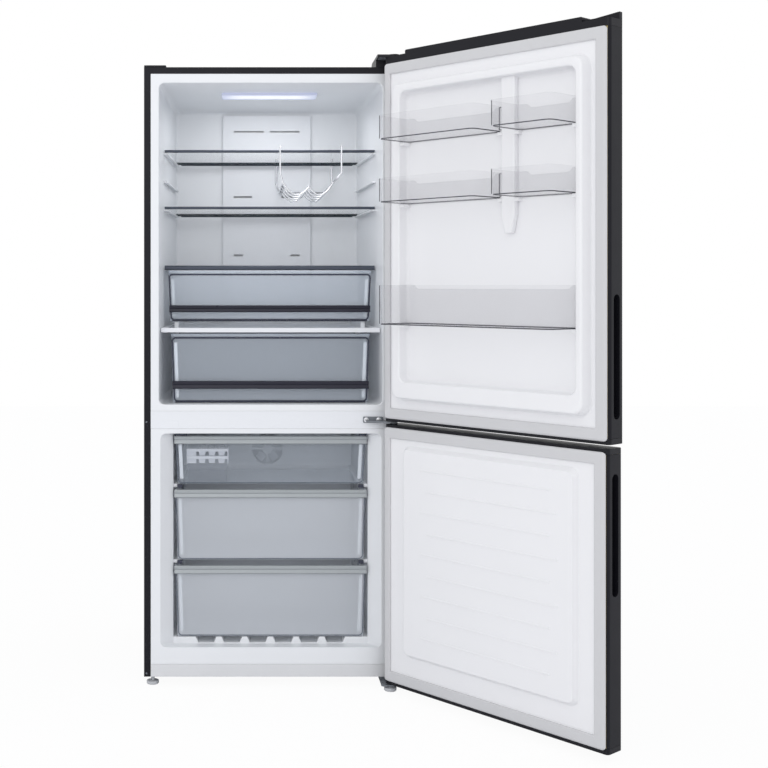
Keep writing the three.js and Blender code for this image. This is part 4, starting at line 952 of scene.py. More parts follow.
    def turned(self, profile: Sequence[Pair], middle: Triple, axis: Axis = Axis.UP) -> "Form":
        """A turned body.

        Args:
            profile: Radius and height of each corner, from the axis back to the axis.
            middle: Where the axis starts.
            axis: Its direction.

        Returns:
            The form itself.
        """
        points = [self.mesh.verts.new((r, 0.0, h)) for r, h in profile]
        edges = [self.mesh.edges.new(pair) for pair in zip(points, points[1:])]
        made = bmesh.ops.spin(
            self.mesh,
            geom=points + edges,
            axis=(0, 0, 1),
            cent=(0, 0, 0),
            angle=2 * math.pi,
            steps=SPIN_STEPS,
            use_merge=True,
        )
        new = {v for item in made["geom_last"] for v in getattr(item, "verts", [item])}
        island = self._island(set(points) | {v for v in new if v.is_valid})
        bmesh.ops.remove_doubles(self.mesh, verts=list(island), dist=SPIN_SEAM)
        island = [v for v in island if v.is_valid]
        matrix = Matrix.Translation(middle) @ axis.value
        bmesh.ops.transform(self.mesh, matrix=matrix, verts=island)
        return self

    def _island(self, seeds: set[bmesh.types.BMVert]) -> set[bmesh.types.BMVert]:
        """All vertices that hang together with the given ones.

        Args:
            seeds: The vertices to start from.

        Returns:
            These and all that are joined to them.
        """
        found = {v for v in seeds if v.is_valid}
        edge = list(found)
        while edge:
            near = {e.other_vert(v) for v in edge for e in v.link_edges} - found
            found |= near
            edge = list(near)
        return found

    def outside(self, middle: Vector) -> "Form":
        """Leaves out the faces that look at a point, as a clear tray needs one sheet only.

        Args:
            middle: The point.

        Returns:
            The form itself.
        """
        self.mesh.normal_update()
        inner = [
            face
            for face in self.mesh.faces
            if face.normal.dot(middle - face.calc_center_median()) > 0
        ]
        bmesh.ops.delete(self.mesh, geom=inner, context="FACES")
        return self

    def swell(self, amount: float) -> "Form":
        """Moves the skin outwards, as to thicken a wire.

        Args:
            amount: How far, in millimetres.

        Returns:
            The form itself.
        """
        self.mesh.normal_update()
        for vertex in self.mesh.verts:
            vertex.co += vertex.normal * amount
        return self

    def reshape(self, move: Callable[[Vector], Vector]) -> "Form":
        """Moves every vertex.

        Args:
            move: Gives the new place of a point.

        Returns:
            The form itself.
        """
        for vertex in self.mesh.verts:
            vertex.co = move(vertex.co)
        return self

    def finish(
        self,
        name: str,
        place: Place,
        look: Look,
        nodes: Sequence[str] = (),
        soft: float = 0.0,
        smooth: float = 35.0,
    ) -> bpy.types.Object:
        """Makes the piece.

        Args:
            name: Its name.
            place: Where it is, and what it rides on.
            look: Its finish.
            nodes: The nodes that it stands for.
            soft: Width of a bevel on its hard edges, or 0.
            smooth: Edges flatter than this many degrees are shaded smooth.

        Returns:
            The piece.
        """
        bmesh.ops.recalc_face_normals(self.mesh, faces=self.mesh.faces)
        if self.mesh.calc_volume(signed=True) < 0:
            bmesh.ops.reverse_faces(self.mesh, faces=self.mesh.faces)
        bmesh.ops.transform(self.mesh, matrix=place.matrix, verts=self.mesh.verts)
        data = bpy.data.meshes.new(name)
        self.mesh.to_mesh(data)
        self.mesh.free()
        piece = stand(name, data)
        data.shade_smooth()
        data.set_sharp_from_angle(angle=math.radians(smooth))
        if soft > 0:
            soften(piece, soft, smooth)
        flatten = piece.modifiers.new("flat_faces", "WEIGHTED_NORMAL")
        flatten.keep_sharp = True
        data.materials.append(look.value.material())
        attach(piece, place.body)
        if nodes:
            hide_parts(*nodes)
        log.info("made %s: %d faces", name, len(data.polygons))
        return piece


def soften(piece: bpy.types.Object, width: float, angle: float = 35.0) -> None:
    """Gives a piece a small bevel on its hard edges.

    Args:
        piece: The piece.
        width: Width in millimetres.
        angle: Only edges sharper than this many degrees are touched.
    """
    bevel = piece.modifiers.new("edges", "BEVEL")
    bevel.width = width * MILLIMETRE
    bevel.segments = 2
    bevel.limit_method = "ANGLE"
    bevel.angle_limit = math.radians(angle)
    bevel.use_clamp_overlap = True


# -------------------------------------------------------------------------------------- assemblies


@dataclass
class Assembly:
    """A part of the refrigerator that is made together.

    Attributes:
        frame: The loaded frame.
    """

    frame: dict

    def refine(
        self, node: str, place: Place, look: Look, soft: float, smooth: float = 35.0
    ) -> None:
        """Stands a welded copy with soft edges for a node.

        Args:
            node: The node's name.
            place: Where it is.
            look: Its finish.
            soft: Width of the bevel on its hard edges, in millimetres.
            smooth: Edges flatter than this many degrees are shaded smooth.
        """
        form = Form().copied(self.frame, node, place)
        form.finish(f"{node}_piece", place, look, [node], soft, smooth)

    def dress(self, nodes: dict[str, tuple[Look, float]], place: Place) -> None:
        """Refines nodes that share a place.

        Args:
            nodes: Finish and bevel width of each node.
            place: Where they are.
        """
        for node, (look, soft) in nodes.items():
            self.refine(node, place, look, soft)

    def screw(self, name: str, place: Place, middle: Triple, radius: float, look: Look) -> None:
        """Adds a domed screw head that faces the front.

        Args:
            name: Its name.
            place: Where it is.
            middle: Middle of its seat.
            radius: Its radius.
            look: Its finish.
        """
        height = radius * SCREW_HEIGHT
        angles = [DOME_ANGLE * step for step in range(1, DOME_STEPS + 1)]
        dome = [(radius * math.cos(a), -height * math.sin(a)) for a in angles]
        profile = [(0.0, 0.0), (radius, 0.0), *dome, (0.0, -height)]
        Form().turned(profile, middle, Axis.INWARD).finish(name, place, look)
        low, high = (
            [at + share * radius for at, share in zip(middle, shares)] for shares in SCREW_SLOT
        )
        Form().block(low, high).finish(f"{name}_slot", place, Look.BLACK_PLASTIC)


@dataclass
class Cabinet(Assembly):
    """Steel wrapper, linings, base, machine compartment and cold parts.

    Attributes:
        flange: Half width of the lining's front flange.
        flange_heights: Lower and upper end of that flange.
        flange_corner: Its corner radius.
        flange_edge: Radius of its front edge.
        mouth: Half width of the fridge's opening.
        heights: Floor and ceiling of the fridge at the front.
        taper: How far each side wall moves in to the back.
        ceiling_drop: How far the ceiling falls to the back.
        depth: Depth of the fridge.
        corner: Corner radius of the fridge.
        lining: Thickness of the lining.
        mouth_round: Radius between the lining and its front flange.
        back_round: Radius round the fridge's back wall.
        rail_levels: Top of each pair of shelf rails, and where it starts.
        rail: Width and height of a rail.
        rail_end: Where the rails end.
        rail_root: How far a rail goes into the wall.
        wrapper_screws: Heights of the screws in the wrapper's front edge.
        wrapper_screw: Their place across and inwards, and their radius.
        ledge_clips: Lower and upper end of the clips on each freezer ledge.
        ledge_clip: Inner and outer end of such a clip on the right.
        ledge_clip_depth: Front and back of such a clip.
        top_clips: The two ends of each clip over the freezer.
        top_clip_depth: Front and back of such a clip.
        top_clip_heights: Lower and upper end of such a clip.
    """

    flange: float = 332.4
    flange_heights: Pair = (760.3, 1693.4)
    flange_corner: float = 1.0
    flange_edge: float = 0.3
    mouth: float = 309.6
    heights: Pair = (778.0, 1668.0)
    taper: float = 19.8
    ceiling_drop: float = 8.6
    depth: float = 540.0
    corner: float = 16.0
    lining: float = 2.0
    mouth_round: float = 3.0
    back_round: float = 10.0
    rail_levels: tuple[Pair, ...] = (
        (1489.1, 132.0),
        (1407.5, 132.0),
        (1326.5, 132.0),
        (1156.0, 141.3),
        (976.3, 128.0),
    )
    rail: Pair = (12.0, 5.0)
    rail_end: float = 515.0
    rail_root: float = 0.5
    wrapper_screws: tuple[tuple[str, float], ...] = (("upper", 729.6), ("lower", 33.8))
    wrapper_screw: Triple = (-344.2, -0.05, 2.6)
    ledge_clips: tuple[tuple[str, Pair], ...] = (
        ("upper", (541.5, 551.0)),
        ("lower", (329.0, 338.5)),
    )
    ledge_clip: Pair = (246.0, 261.0)
    ledge_clip_depth: Pair = (39.0, 47.0)
    top_clips: tuple[tuple[str, Pair], ...] = (
        ("left", (-267.0, -233.0)),
        ("right", (247.0, 268.0)),
    )
    top_clip_depth: Pair = (28.0, 44.0)
    top_clip_heights: Pair = (689.0, 695.0)
    place: Place = field(init=False)

    def __post_init__(self) -> None:
        """Finds the cabinet's place."""
        self.place = Place("cabinet")

    def wall_at(self, depth: float) -> float:
        """Half width of the fridge at a depth."""
        return self.mouth - self.taper * depth / self.depth

    def space(self, depth: float, grow: float = 0.0) -> Station:
        """The fridge's section at a depth.

        Args:
            depth: The depth.
            grow: How far it is grown outwards.

        Returns:
            The section.
        """
        half = self.wall_at(depth) + grow
        ceiling = self.heights[1] - self.ceiling_drop * depth / self.depth
        heights = (self.heights[0] - grow, ceiling + grow)
        return Station((-half, half), heights, self.corner + grow, depth)

    def fridge_lining(self) -> None:
        """The moulded lining of the fridge, with a soft mouth, round corners and shelf rails."""
        sides = (-self.flange, self.flange)
        edge = Station(sides, self.flange_heights, self.flange_corner, self.lining)
        wall = self.lining
        outer_mouth = self.space(wall, wall)
        outer_back = self.space(self.depth - self.back_round, wall)
        mouth = self.space(self.mouth_round)
        flare = [mouth, *mouth.round(-self.mouth_round, -self.mouth_round)]
        back = self.space(self.depth - self.back_round)
        stations = [
            *reversed([outer_back, *outer_back.round(self.back_round, self.back_round + wall)]),
            outer_mouth,
            edge,
            edge.moved(self.flange_edge),
            edge.inset(self.flange_edge, 0.0),
            *reversed(flare),
            back,
            *back.round(self.back_round, self.back_round),
        ]
        form = Form().loft(stations, Axis.INWARD, segments=8)
        width, height = self.rail
        for top, start in self.rail_levels:
            for side in (-1, 1):
                low, high = (0, start, top - height), (width, self.rail_end, top)
                rail = Form().block(low, high, soft=1.2)
                rail.reshape(
                    lambda p: Vector((side * (self.wall_at(p.y) + self.rail_root - p.x), p.y, p.z))
                )
                form.absorb(rail)
        form.finish("fridge_lining", self.place, Look.WHITE_LINING, ["fridge_liner"])

    def details(self) -> None:
        """Screws of the wrapper and clips of the freezer."""
        x, y, radius = self.wrapper_screw
        for level, height in self.wrapper_screws:
            name = f"side_screw_{level}"
            self.screw(name, self.place, (x, y, height), radius, Look.GREY_PAINT)
        for level, heights in self.ledge_clips:
            for side, name in ((-1, "left"), (1, "right")):
                ends = sorted(side * x for x in self.ledge_clip)
                corners = zip(ends, self.ledge_clip_depth, heights)
                clip = Form().block(*corners, soft=1.0)
                clip.finish(f"ledge_clip_{level}_{name}", self.place, Look.TUB_EDGE)
        for side, ends in self.top_clips:
            corners = zip(ends, self.top_clip_depth, self.top_clip_heights)
            clip = Form().block(*corners, soft=1.2)
            clip.finish(f"top_clip_{side}", self.place, Look.TUB_EDGE)

    def build(self) -> None:
        """Builds the cabinet."""
        self.fridge_lining()
        self.dress(
            {
                "cabinet_shell": (Look.BLACK_STEEL, 0.5),
                "back_panel": (Look.ZINC, 0.3),
                "cabinet_foam": (Look.FOAM, 0.0),
                "freezer_liner": (Look.WHITE_LINING, 1.2),
                "mullion_cover": (Look.COVER_WHITE, 0.4),
                "kick_plate": (Look.KICK_GREY, 0.8),
                "base_deck": (Look.ZINC, 0.4),
                "compressor": (Look.COMPRESSOR, 2.0),
                "evaporator": (Look.FINS, 0.2),
                "freezer_duct_cover": (Look.WHITE_LINING, 0.8),
                "fridge_duct_cover": (Look.COVER_WHITE, 0.6),
                "lamp_lens": (Look.LAMP, 1.5),
                "corner_cap": (Look.BLACK_PLASTIC, 0.8),
            },
            self.place,
        )
        self.refine("evaporator_fan", Place("evaporator_fan"), Look.COVER_WHITE, 0.3)
        self.details()


@dataclass
class Shelves(Assembly):
    """Glass shelves, covers and the bottle rack.

    Attributes:
        lip: Height of the lip under a rear trim, its front and its ends, from the trim's.
        lip_back: From the trim's back to the lip's.
        wire_coat: Thickness of the plating on the rack's wires.
    """

    lip: Triple = (2.6, 9.0, 16.0)
    lip_back: float = 1.0
    wire_coat: float = 0.8

    def rear_lip(self, level: str) -> None:
        """Makes the lip under a shelf's rear trim.

        Args:
            level: The shelf, upper or lower.
        """
        place = Place(f"{level}_shelf")
        low, high = place.extent(self.frame, f"shelf_{level}_rear_trim")
        drop, depth, setback = self.lip
        form = Form().block(
            (low.x + setback, high.y - depth, low.z - drop),
            (high.x - setback, high.y - self.lip_back, low.z),
            soft=0.8,
        )
        form.finish(f"shelf_{level}_rear_lip", place, Look.NAVY_TRIM)

    def build(self) -> None:
        """Builds the shelves."""
        for level in ("upper", "lower"):
            self.dress(
                {
                    f"shelf_{level}_glass": (Look.GLASS, 0.4),
                    f"shelf_{level}_front_trim": (Look.DARK_TRIM, 0.5),
                    f"shelf_{level}_rear_trim": (Look.NAVY_TRIM, 0.5),
                },
                Place(f"{level}_shelf"),
            )
            self.rear_lip(level)
        place = Place("upper_shelf")
        rack = Form().copied(self.frame, "bottle_rack", place).swell(self.wire_coat)
        rack.finish("bottle_rack_piece", place, Look.CHROME, ["bottle_rack"], smooth=80)
        self.dress(
            {
                "crisper_cover_glass": (Look.GLASS, 0.4),
                "crisper_cover_trim": (Look.DARK_TRIM, 0.8),
                "lower_crisper_cover": (Look.COVER_WHITE, 1.2),
            },
            Place("cabinet"),
        )


@dataclass
class Tubs(Assembly):
    """Crispers and freezer drawers.

    Attributes:
        taper: How far each wall of a tub moves in from its rim to its bottom.
        rim: How far in and down from the tub's upper edge each corner of its turned rim is.
        foot_round: Radius round its bottom.
        corner: Its corner radius.
        outline: Width of the raised line round a drawer's front.
        broad_outline: Width of the line round a crisper's front, whose navy is painted shade
        of the clear walls' dark edges.
        outline_sides: From the tub's sides to that line.
        outline_ends: From the tub's bottom and upper edge to that line.
        outline_corner: Its corner radius.
        outline_faces: How far that line stands out, and its depth.
        strip: From a tub's side to the inner and outer side of the pale strip.
        strip_faces: From a tub's front to the front and the back of the pale strip.
        strip_drop: From a tub's upper edge to the pale strip.
        painted_shadow_strip: Height and depth of the dark strip along a crisper's foot: painted
            shadow of the gap under the crisper.
        painted_shadow_rise: From a crisper's bottom to that strip.
        narrowing: How much narrower a freezer drawer is at its back, at each side.
    """

    taper: float = 7.0
    rim: tuple[Pair, ...] = (
        (1.5, 8.0),
        (0.6, 7.0),
        (0.0, 6.4),
        (0.0, 0.6),
        (0.6, 0.0),
        (2.1, 0.0),
        (2.5, 0.6),
    )
    foot_round: float = 4.0
    corner: float = 14.0
    outline: float = 2.2
    broad_outline: float = 4.5
    outline_sides: float = 3.0
    outline_ends: Pair = (2.5, 9.0)
    outline_corner: float = 12.0
    outline_faces: Pair = (0.9, 3.0)
    strip: Pair = (19.0, 9.0)
    strip_faces: Pair = (3.1, 5.5)
    strip_drop: float = 24.0
    painted_shadow_strip: Pair = (9.0, 3.0)
    painted_shadow_rise: float = 0.6
    narrowing: float = 5.0

    def tub(self, node: str, place: Place, look: Look, edge: Look, narrowing: float) -> None:
        """Makes a tub of one clear sheet with a turned rim and a raised line round its front.

        Args:
            node: The node that it stands for.
            place: Where it is.
            look: Its finish.
            edge: Finish of the raised line.
            narrowing: How much narrower its back is, at each side.
        """
        low, high = place.extent(self.frame, node)
        edge_line = Station((low.x, high.x), (low.y, high.y), self.corner, high.z)
        foot = edge_line.inset(self.taper, low.z + self.foot_round)
        stations = [
            *(edge_line.inset(inset, high.z - drop) for inset, drop in self.rim),
            foot,
            *foot.round(self.foot_round, -self.foot_round),
        ]
        form = Form().loft(stations, Axis.UP, segments=7, mouth=True)
        length = high.y - low.y

        def narrowed(p: Vector) -> Vector:
            """Draws the sides in towards the back."""
            share = 1 - (p.y - low.y) / length * narrowing / high.x
            return Vector((p.x * share, p.y, p.z))

        form.reshape(narrowed)
        form.finish(f"{node}_piece", place, look, [node])
        self.front_outline(f"{node}_outline", place, (low, high), edge)
        # On a crisper, a navy strip along the foot is painted shadow of the gap under the tub.
        if edge is Look.TUB_EDGE:
            height, depth = self.painted_shadow_strip
            front = low.y + self.taper
            strip = Form().block(
                (low.x + self.corner, front, low.z + self.painted_shadow_rise),
                (high.x - self.corner, front + depth, low.z + height),
                soft=0.8,
            )
            strip.finish(f"{node}_foot", place, Look.NAVY_BAND)
        self.side_strips(node, place, (low, high))

    def front_outline(
        self, name: str, place: Place, box: tuple[Vector, Vector], look: Look
    ) -> None:
        """Makes the raised line round a tub's front.

        Args:
            name: Its name.
            place: Where it is.
            box: Lowest and highest corner of the tub.
            look: Its finish.
        """
        low, high = box
        (foot, top), (reach, depth) = self.outline_ends, self.outline_faces
        line = Station(
            (low.x + self.outline_sides, high.x - self.outline_sides),
            (low.z + foot, high.z - top),
            self.outline_corner,
            low.y - reach,
        )
        width = self.outline if look is Look.DRAWER_EDGE else self.broad_outline
        form = Form().hoop(line, width, depth, Axis.INWARD)
        form.reshape(lambda p: self.tapered(p, box)).finish(name, place, look)

    def side_strips(self, node: str, place: Place, box: tuple[Vector, Vector]) -> None:
        """Makes the pale ends of a tub's side walls, as they show behind its front.

        Args:
            node: The tub's node.
            place: Where it is.
            box: Lowest and highest corner of the tub.
        """
        low, high = box
        heights = (low.z + self.corner, high.z - self.strip_drop)
        faces = [low.y + depth for depth in self.strip_faces]
        for side, name in ((-1, "left"), (1, "right")):
            ends = sorted(side * (high.x - inset) for inset in self.strip)
            strip = Form().block(*zip(ends, faces, heights), soft=1.0)
            strip.reshape(lambda p: self.tapered(p, box))
            strip.finish(f"{node}_{name}_side", place, Look.TUB_SIDE)

    def tapered(self, p: Vector, box: tuple[Vector, Vector]) -> Vector:
        """Follows the taper of a tub's walls.

        Args:
            p: A point drawn against upright walls.
            box: Lowest and highest corner of the tub.

        Returns:
            The point's place against the tapered ones.
        """
        low, high = box
        inset = (high.z - p.z) * self.taper / (high.z - low.z)
        return Vector((p.x * (1 - inset / high.x), p.y + inset, p.z))

    def build(self) -> None:
        """Builds the tubs with their bands, the ice box and the ice tray."""
        for level in ("upper", "lower"):
            place = Place(f"{level}_crisper")
            # A crisper's navy front line is painted shade of its clear walls' dark edges.
            self.tub(f"{level}_crisper_tub", place, Look.CLEAR_TUB, Look.TUB_EDGE, 0.0)
            self.refine(f"{level}_crisper_grip", place, Look.NAVY_BAND, 0.6)
        for number in (1, 2, 3):
            place = Place(f"freezer_drawer_{number}")
            node = f"freezer_drawer_{number}_tub"
            look = Look.CLEAR_DRAWER if number == 1 else Look.GREY_TUB
            self.tub(node, place, look, Look.DRAWER_EDGE, self.narrowing)
            self.refine(f"freezer_drawer_{number}_band", place, Look.SATIN_BAND, 0.8)
        self.refine("ice_box", Place("freezer_drawer_1"), Look.ICE_BOX, 0.8)
        self.refine("ice_tray", Place("ice_tray"), Look.ICE_WHITE, 0.4)


@dataclass
class Door(Assembly):
    """What both doors share.

    Attributes:
        name: The door's body.
        half: Half width of the seal.
        seal_heights: Lower and upper end of the seal.
        seal_width: Width of the seal.
        seal_hinge_width: Its width beside the hinges.
        seal_faces: Back and face of the seal.
        seal_corner: Its corner radius.
        sheet: Half width of the lining behind the seal.
        sheet_faces: Back and face of that sheet.
        sheet_inset: How much shorter it is than the seal, at each end.
        sheet_corner: Its corner radius.
    """

    name: str = ""
    half: float = 346.0
    seal_heights: Pair = (745.2, 1712.0)
    seal_width: float = 29.0
    seal_hinge_width: float = 21.0
    seal_faces: Pair = (-6.7, -0.5)
    seal_corner: float = 9.0
    sheet: float = 344.7
    sheet_faces: Pair = (-8.7, -7.0)
    sheet_inset: float = 2.0
    sheet_corner: float = 6.0
    place: Place = field(init=False)

    def __post_init__(self) -> None:
        """Finds the closed door's coordinates."""
        self.place = door_place(self.frame, self.name)

    def seal(self) -> None:
        """The magnetic seal: a broad soft lip with rounded edges."""
        back, face = self.seal_faces
        outer = Station((-self.half, self.half), self.seal_heights, self.seal_corner, back)
        width = self.seal_width
        profile = [  # how far in from the outline, and where along the axis
            (1.2, back),
            (0.0, back + 1.2),
            (0.2, face - 3.6),
            (1.6, face - 1.7),
            (4.4, face - 0.3),
            (6.0, face),
            (width - 3.0, face),
            (width - 1.2, face - 0.8),
            (width, face - 2.2),
            (width, back),
        ]
        stations = []
        for amount, along in profile:
            station = outer.inset(amount, along)
            if amount > self.seal_hinge_width:
                edge = station.across[1] + width - self.seal_hinge_width
                station = replace(station, across=(station.across[0], edge))
            stations.append(station)
        form = Form().loft(stations, Axis.INWARD, segments=6, closed=True)
        form.finish(f"{self.name}_seal", self.place, Look.SEAL, [f"{self.name}_gasket"])

    def sheet_stations(self) -> list[Station]:
        """The lining's flat edge behind the seal.

        Returns:
            Its stations at the back and the face.
        """
        heights = (self.seal_heights[0] + self.sheet_inset, self.seal_heights[1] - self.sheet_inset)
        back, face = self.sheet_faces
        edge = Station((-self.sheet, self.sheet), heights, self.sheet_corner, back)
        return [edge, edge.moved(face)]

    def finish_lining(self, form: Form) -> None:
        """Stands a form for the door's inner lining.

        Args:
            form: The lining's form.
        """
        node = f"{self.name}_liner"
        form.finish(f"{self.name}_lining", self.place, Look.DOOR_WHITE, [node], smooth=50)

    def lining(self) -> None:
        """The moulded inner face, which each door has its own form of."""
        raise NotImplementedError

    def fittings(self) -> None:
        """What a door carries on its lining. The freezer's door carries nothing."""

    def build(self) -> None:
        """Builds the door."""
        self.seal()
        self.lining()
        self.fittings()
        self.dress(
            {
                f"{self.name}_skin": (Look.BLACK_STEEL, 0.4),
                f"{self.name}_foam": (Look.FOAM, 0.0),
                f"{self.name}_top_cap": (Look.BLACK_PLASTIC, 0.8),
                f"{self.name}_bottom_cap": (Look.BLACK_PLASTIC, 0.8),
            },
            self.place,
        )


@dataclass
class UpperDoor(Door):
    """The fridge's door.

    Attributes:
        border: Half width of the raised border.
        border_heights: Its lower and upper end.
        border_reach: How far it stands into the cabinet.
        border_corner: Its corner radius.
        border_draft: Draft of its outer sides.
        border_rounds: Radius round its foot and its crown.
        bay: The bays' two sides.
        bay_heights: Their lower and upper end.
        bay_corner: Their corner radius.
        bay_draft: Draft of their sides.
        bay_rounds: Radius round their rim and their floor.
        post: The post's two sides.
        post_heights: Its lower end, the end of its taper, and its upper end.
        post_reach: How far it stands into the cabinet.
        post_point: How much narrower it is at its lower end, at each side.
        post_corner: Its corner radius.
        post_root: How far it goes into the lining.
        post_near: How near to the post a bin's end is where its lug stands on the post.
        lug: Width, height and reach of a bin lug.
        lug_root: How far it goes into the lining.
        lug_past: How far it goes past the bin's end.
        lug_gap: From a bin's bottom to its lugs.
        bin_line: Width and height of the dark line round a bin's foot: painted shade of its
        clear edges.
        bin_foot: That line's insets at the ends and the front, and how far it passes the back.
        bin_foot_corner: Its corner radius.
        bin_foot_rise: From a bin's bottom to that line.
        bin_corner: From a bin's hinge side and front to the dark line on its corner, painted
        shade of the clear corner.
        bin_corner_drop: From the bin's upper edge to that line.
        bin_hook: Back and front of the hook at a bin's free end, drawn as a dark ring of
        painted shade.
        bin_hook_ends: From a bin's bottom and upper edge to the hook.
        bin_hook_corner: Its corner radius.
        bin_hook_past: How far it stands out of the bin's end.
    """

    name: str = "upper_door"
    border: float = 303.0
    border_heights: Pair = (800.0, 1652.0)
    border_reach: float = 25.0
    border_corner: float = 30.0
    border_draft: float = 5.0
    border_rounds: Pair = (5.0, 7.0)
    bay: Pair = (-279.5, 267.3)
    bay_heights: Pair = (850.0, 1625.0)
    bay_corner: float = 20.0
    bay_draft: float = 1.5
    bay_rounds: Pair = (5.0, 9.0)
    post: Pair = (-96.0, -55.0)
    post_heights: Triple = (1238.0, 1282.0, 1638.5)
    post_reach: float = 10.0
    post_point: float = 10.0
    post_corner: float = 4.0
    post_root: float = 0.5
    post_near: float = 5.0
    lug: Triple = (9.0, 9.0, 20.0)
    lug_root: float = 0.3
    lug_past: float = 3.5
    lug_gap: float = 0.5
    bin_line: Pair = (1.8, 2.6)
    bin_foot: Pair = (3.4, 0.6)
    bin_foot_corner: float = 16.6
    bin_foot_rise: float = 0.4
    bin_corner: Pair = (6.0, 4.2)
    bin_corner_drop: float = 1.0
    bin_hook: Pair = (1.5, 19.0)
    bin_hook_ends: Pair = (4.0, 2.0)
    bin_hook_corner: float = 3.0
    bin_hook_past: float = 0.2

    def lining(self) -> None:
        """The moulded inner face: a raised border round two bays, their post and the bin lugs."""
        floor, reach = self.sheet_faces[1], self.border_reach
        at_foot, at_crown = self.border_rounds
        at_rim, at_floor = self.bay_rounds
        sides = (-self.border, self.border)
        border = Station(sides, self.border_heights, self.border_corner, floor + at_foot)
        foot = [border, *border.round(-at_foot, -at_foot)]
        crown = border.inset(self.border_draft, reach - at_crown)
        bay = Station(self.bay, self.bay_heights, self.bay_corner, reach - at_rim)
        rim = [bay, *bay.round(-at_rim, at_rim)]
        sink = bay.moved(floor + at_floor, self.bay_draft)
        stations = [
            *self.sheet_stations(),
            *reversed(foot),
            crown,
            *crown.round(at_crown, at_crown),
            *reversed(rim),
            sink,
            *sink.round(at_floor, -at_floor),
        ]
        form = Form().loft(stations, Axis.INWARD, segments=8)
        form.absorb(self.post_form())
        for lug in self.lug_forms():
            form.absorb(lug)
        self.finish_lining(form)

    def post_form(self) -> Form:
        """The post between the bays, pointed at its lower end.

        Returns:
            The post.
        """
        low, bend, top = self.post_heights
        depth = (self.sheet_faces[1] - self.post_root, self.post_reach)
        wide = Station(self.post, depth, self.post_corner, bend)
        left, right = self.post
        ends = (left + self.post_point, right - self.post_point)
        narrow = Station(ends, depth, self.post_corner, low)
        return Form().loft([narrow, wide, wide.moved(top)], Axis.UP, segments=4)

    def lug_forms(self) -> list[Form]:
        """The lugs under both ends of each bin.

        Returns:
            The lugs.
        """
        lugs = []
        width, height, reach = self.lug
        for node in self.bins():
            low, high = self.place.extent(self.frame, node)
            top = low.z - self.lug_gap
            for x, outward in ((low.x, -1), (high.x, 1)):
                at_post = self.post[0] - self.post_near < x < self.post[1] + self.post_near
                on_post = low.z > self.post_heights[0] and at_post
                ends = sorted((x - outward * width, x + outward * self.lug_past))
                front = self.post_reach if on_post else reach
                faces = (self.sheet_faces[1] - self.lug_root, front)
                lugs.append(Form().block(*zip(ends, faces, (top - height, top)), soft=1.5))
        return lugs

    def bins(self) -> list[str]:
        """Names of the bins' nodes."""
        return [node for node in self.frame["nodes"] if node.startswith("bin_")]

    def bin(self, node: str) -> None:
        """Makes a bin with the dark lines of its foot and its corner, and its hook.

        Args:
            node: The bin's node.
        """
        place = door_place(self.frame, self.name, node)
        low, high = place.extent(self.frame, node)
        tray = Form().copied(self.frame, node, place).outside((low + high) / 2)
        tray.finish(f"{node}_piece", place, Look.SMOKY_BIN, [node], smooth=50)
        # The foot line, the corner line and the hook's ring are painted shade of the clear
        # plastic's dark edges.
        line, rise = self.bin_line
        inset, past = self.bin_foot
        ends, sides = (low.x + inset, high.x - inset), (low.y - past, high.y - inset)
        foot = Station(ends, sides, self.bin_foot_corner, low.z + self.bin_foot_rise)
        Form().hoop(foot, line, rise, Axis.UP).finish(f"{node}_foot_line", place, Look.BIN_EDGE_SHADE)
        x, y = high.x - self.bin_corner[0], high.y - self.bin_corner[1]
        top = high.z - self.bin_corner_drop
        post = Form().block((x - line, y - line, low.z + rise), (x, y, top), soft=line / 3)
        post.finish(f"{node}_corner_line", place, Look.BIN_EDGE_SHADE)
        back, front = self.bin_hook
        under, over = self.bin_hook_ends
        sides, heights = (low.y + back, low.y + front), (low.z + under, high.z - over)
        hook = Station(sides, heights, self.bin_hook_corner, low.x - self.bin_hook_past)
        Form().hoop(hook, line, line, Axis.ACROSS).finish(f"{node}_hook", place, Look.BIN_EDGE_SHADE)

    def fittings(self) -> None:
        """The bins."""
        for node in self.bins():
            self.bin(node)


@dataclass
class LowerDoor(Door):
    """The freezer's door.

    Attributes:
        panel: The raised panel's two sides.
        panel_heights: Its lower and upper end.
        panel_reach: How far it stands into the cabinet.
        panel_corner: Its corner radius.
        panel_draft: Draft of its sides.
        panel_foot: How far the hollow round its foot goes out and down.
        panel_crown: Radius round its crown.
        ribs: How many ribs it has.
        rib_ends: Their two ends.
        rib_stagger: How much longer every second one is at one end.
        rib_heights: Height of the first and the last.
        rib_size: Height and reach of a rib.
    """

    name: str = "lower_door"
    seal_heights: Pair = (30.0, 721.2)
    panel: Pair = (-272.0, 276.0)
    panel_heights: Pair = (112.0, 676.0)
    panel_reach: float = 7.0
    panel_corner: float = 22.0
    panel_draft: float = 10.0
    panel_foot: Pair = (3.0, 2.0)
    panel_crown: float = 3.0
    ribs: int = 9
    rib_ends: Pair = (-200.0, 209.0)
    rib_stagger: float = 22.0
    rib_heights: Pair = (172.0, 616.0)
    rib_size: Pair = (5.0, 1.5)

    def lining(self) -> None:
        """The moulded inner face: a shallow raised panel with staggered ribs."""
        out, down = self.panel_foot
        top = self.panel_crown
        start = self.sheet_faces[1] + down
        panel = Station(self.panel, self.panel_heights, self.panel_corner, start)
        foot = [panel, *panel.round(-out, -down)]
        crown = panel.inset(self.panel_draft - top, self.panel_reach - top)
        stations = [*self.sheet_stations(), *reversed(foot), crown, *crown.round(top, top)]
        form = Form().loft(stations, Axis.INWARD, segments=8)
        first, last = self.rib_heights
        height, reach = self.rib_size
        for i in range(self.ribs):
            z = first + i * (last - first) / (self.ribs - 1)
            shift = (i % 2) * self.rib_stagger
            low = (self.rib_ends[0] - shift, self.panel_reach - 1, z)
            high = (self.rib_ends[1] - shift, self.panel_reach + reach, z + height)
            form.absorb(Form().block(low, high, soft=1.2))
        self.finish_lining(form)


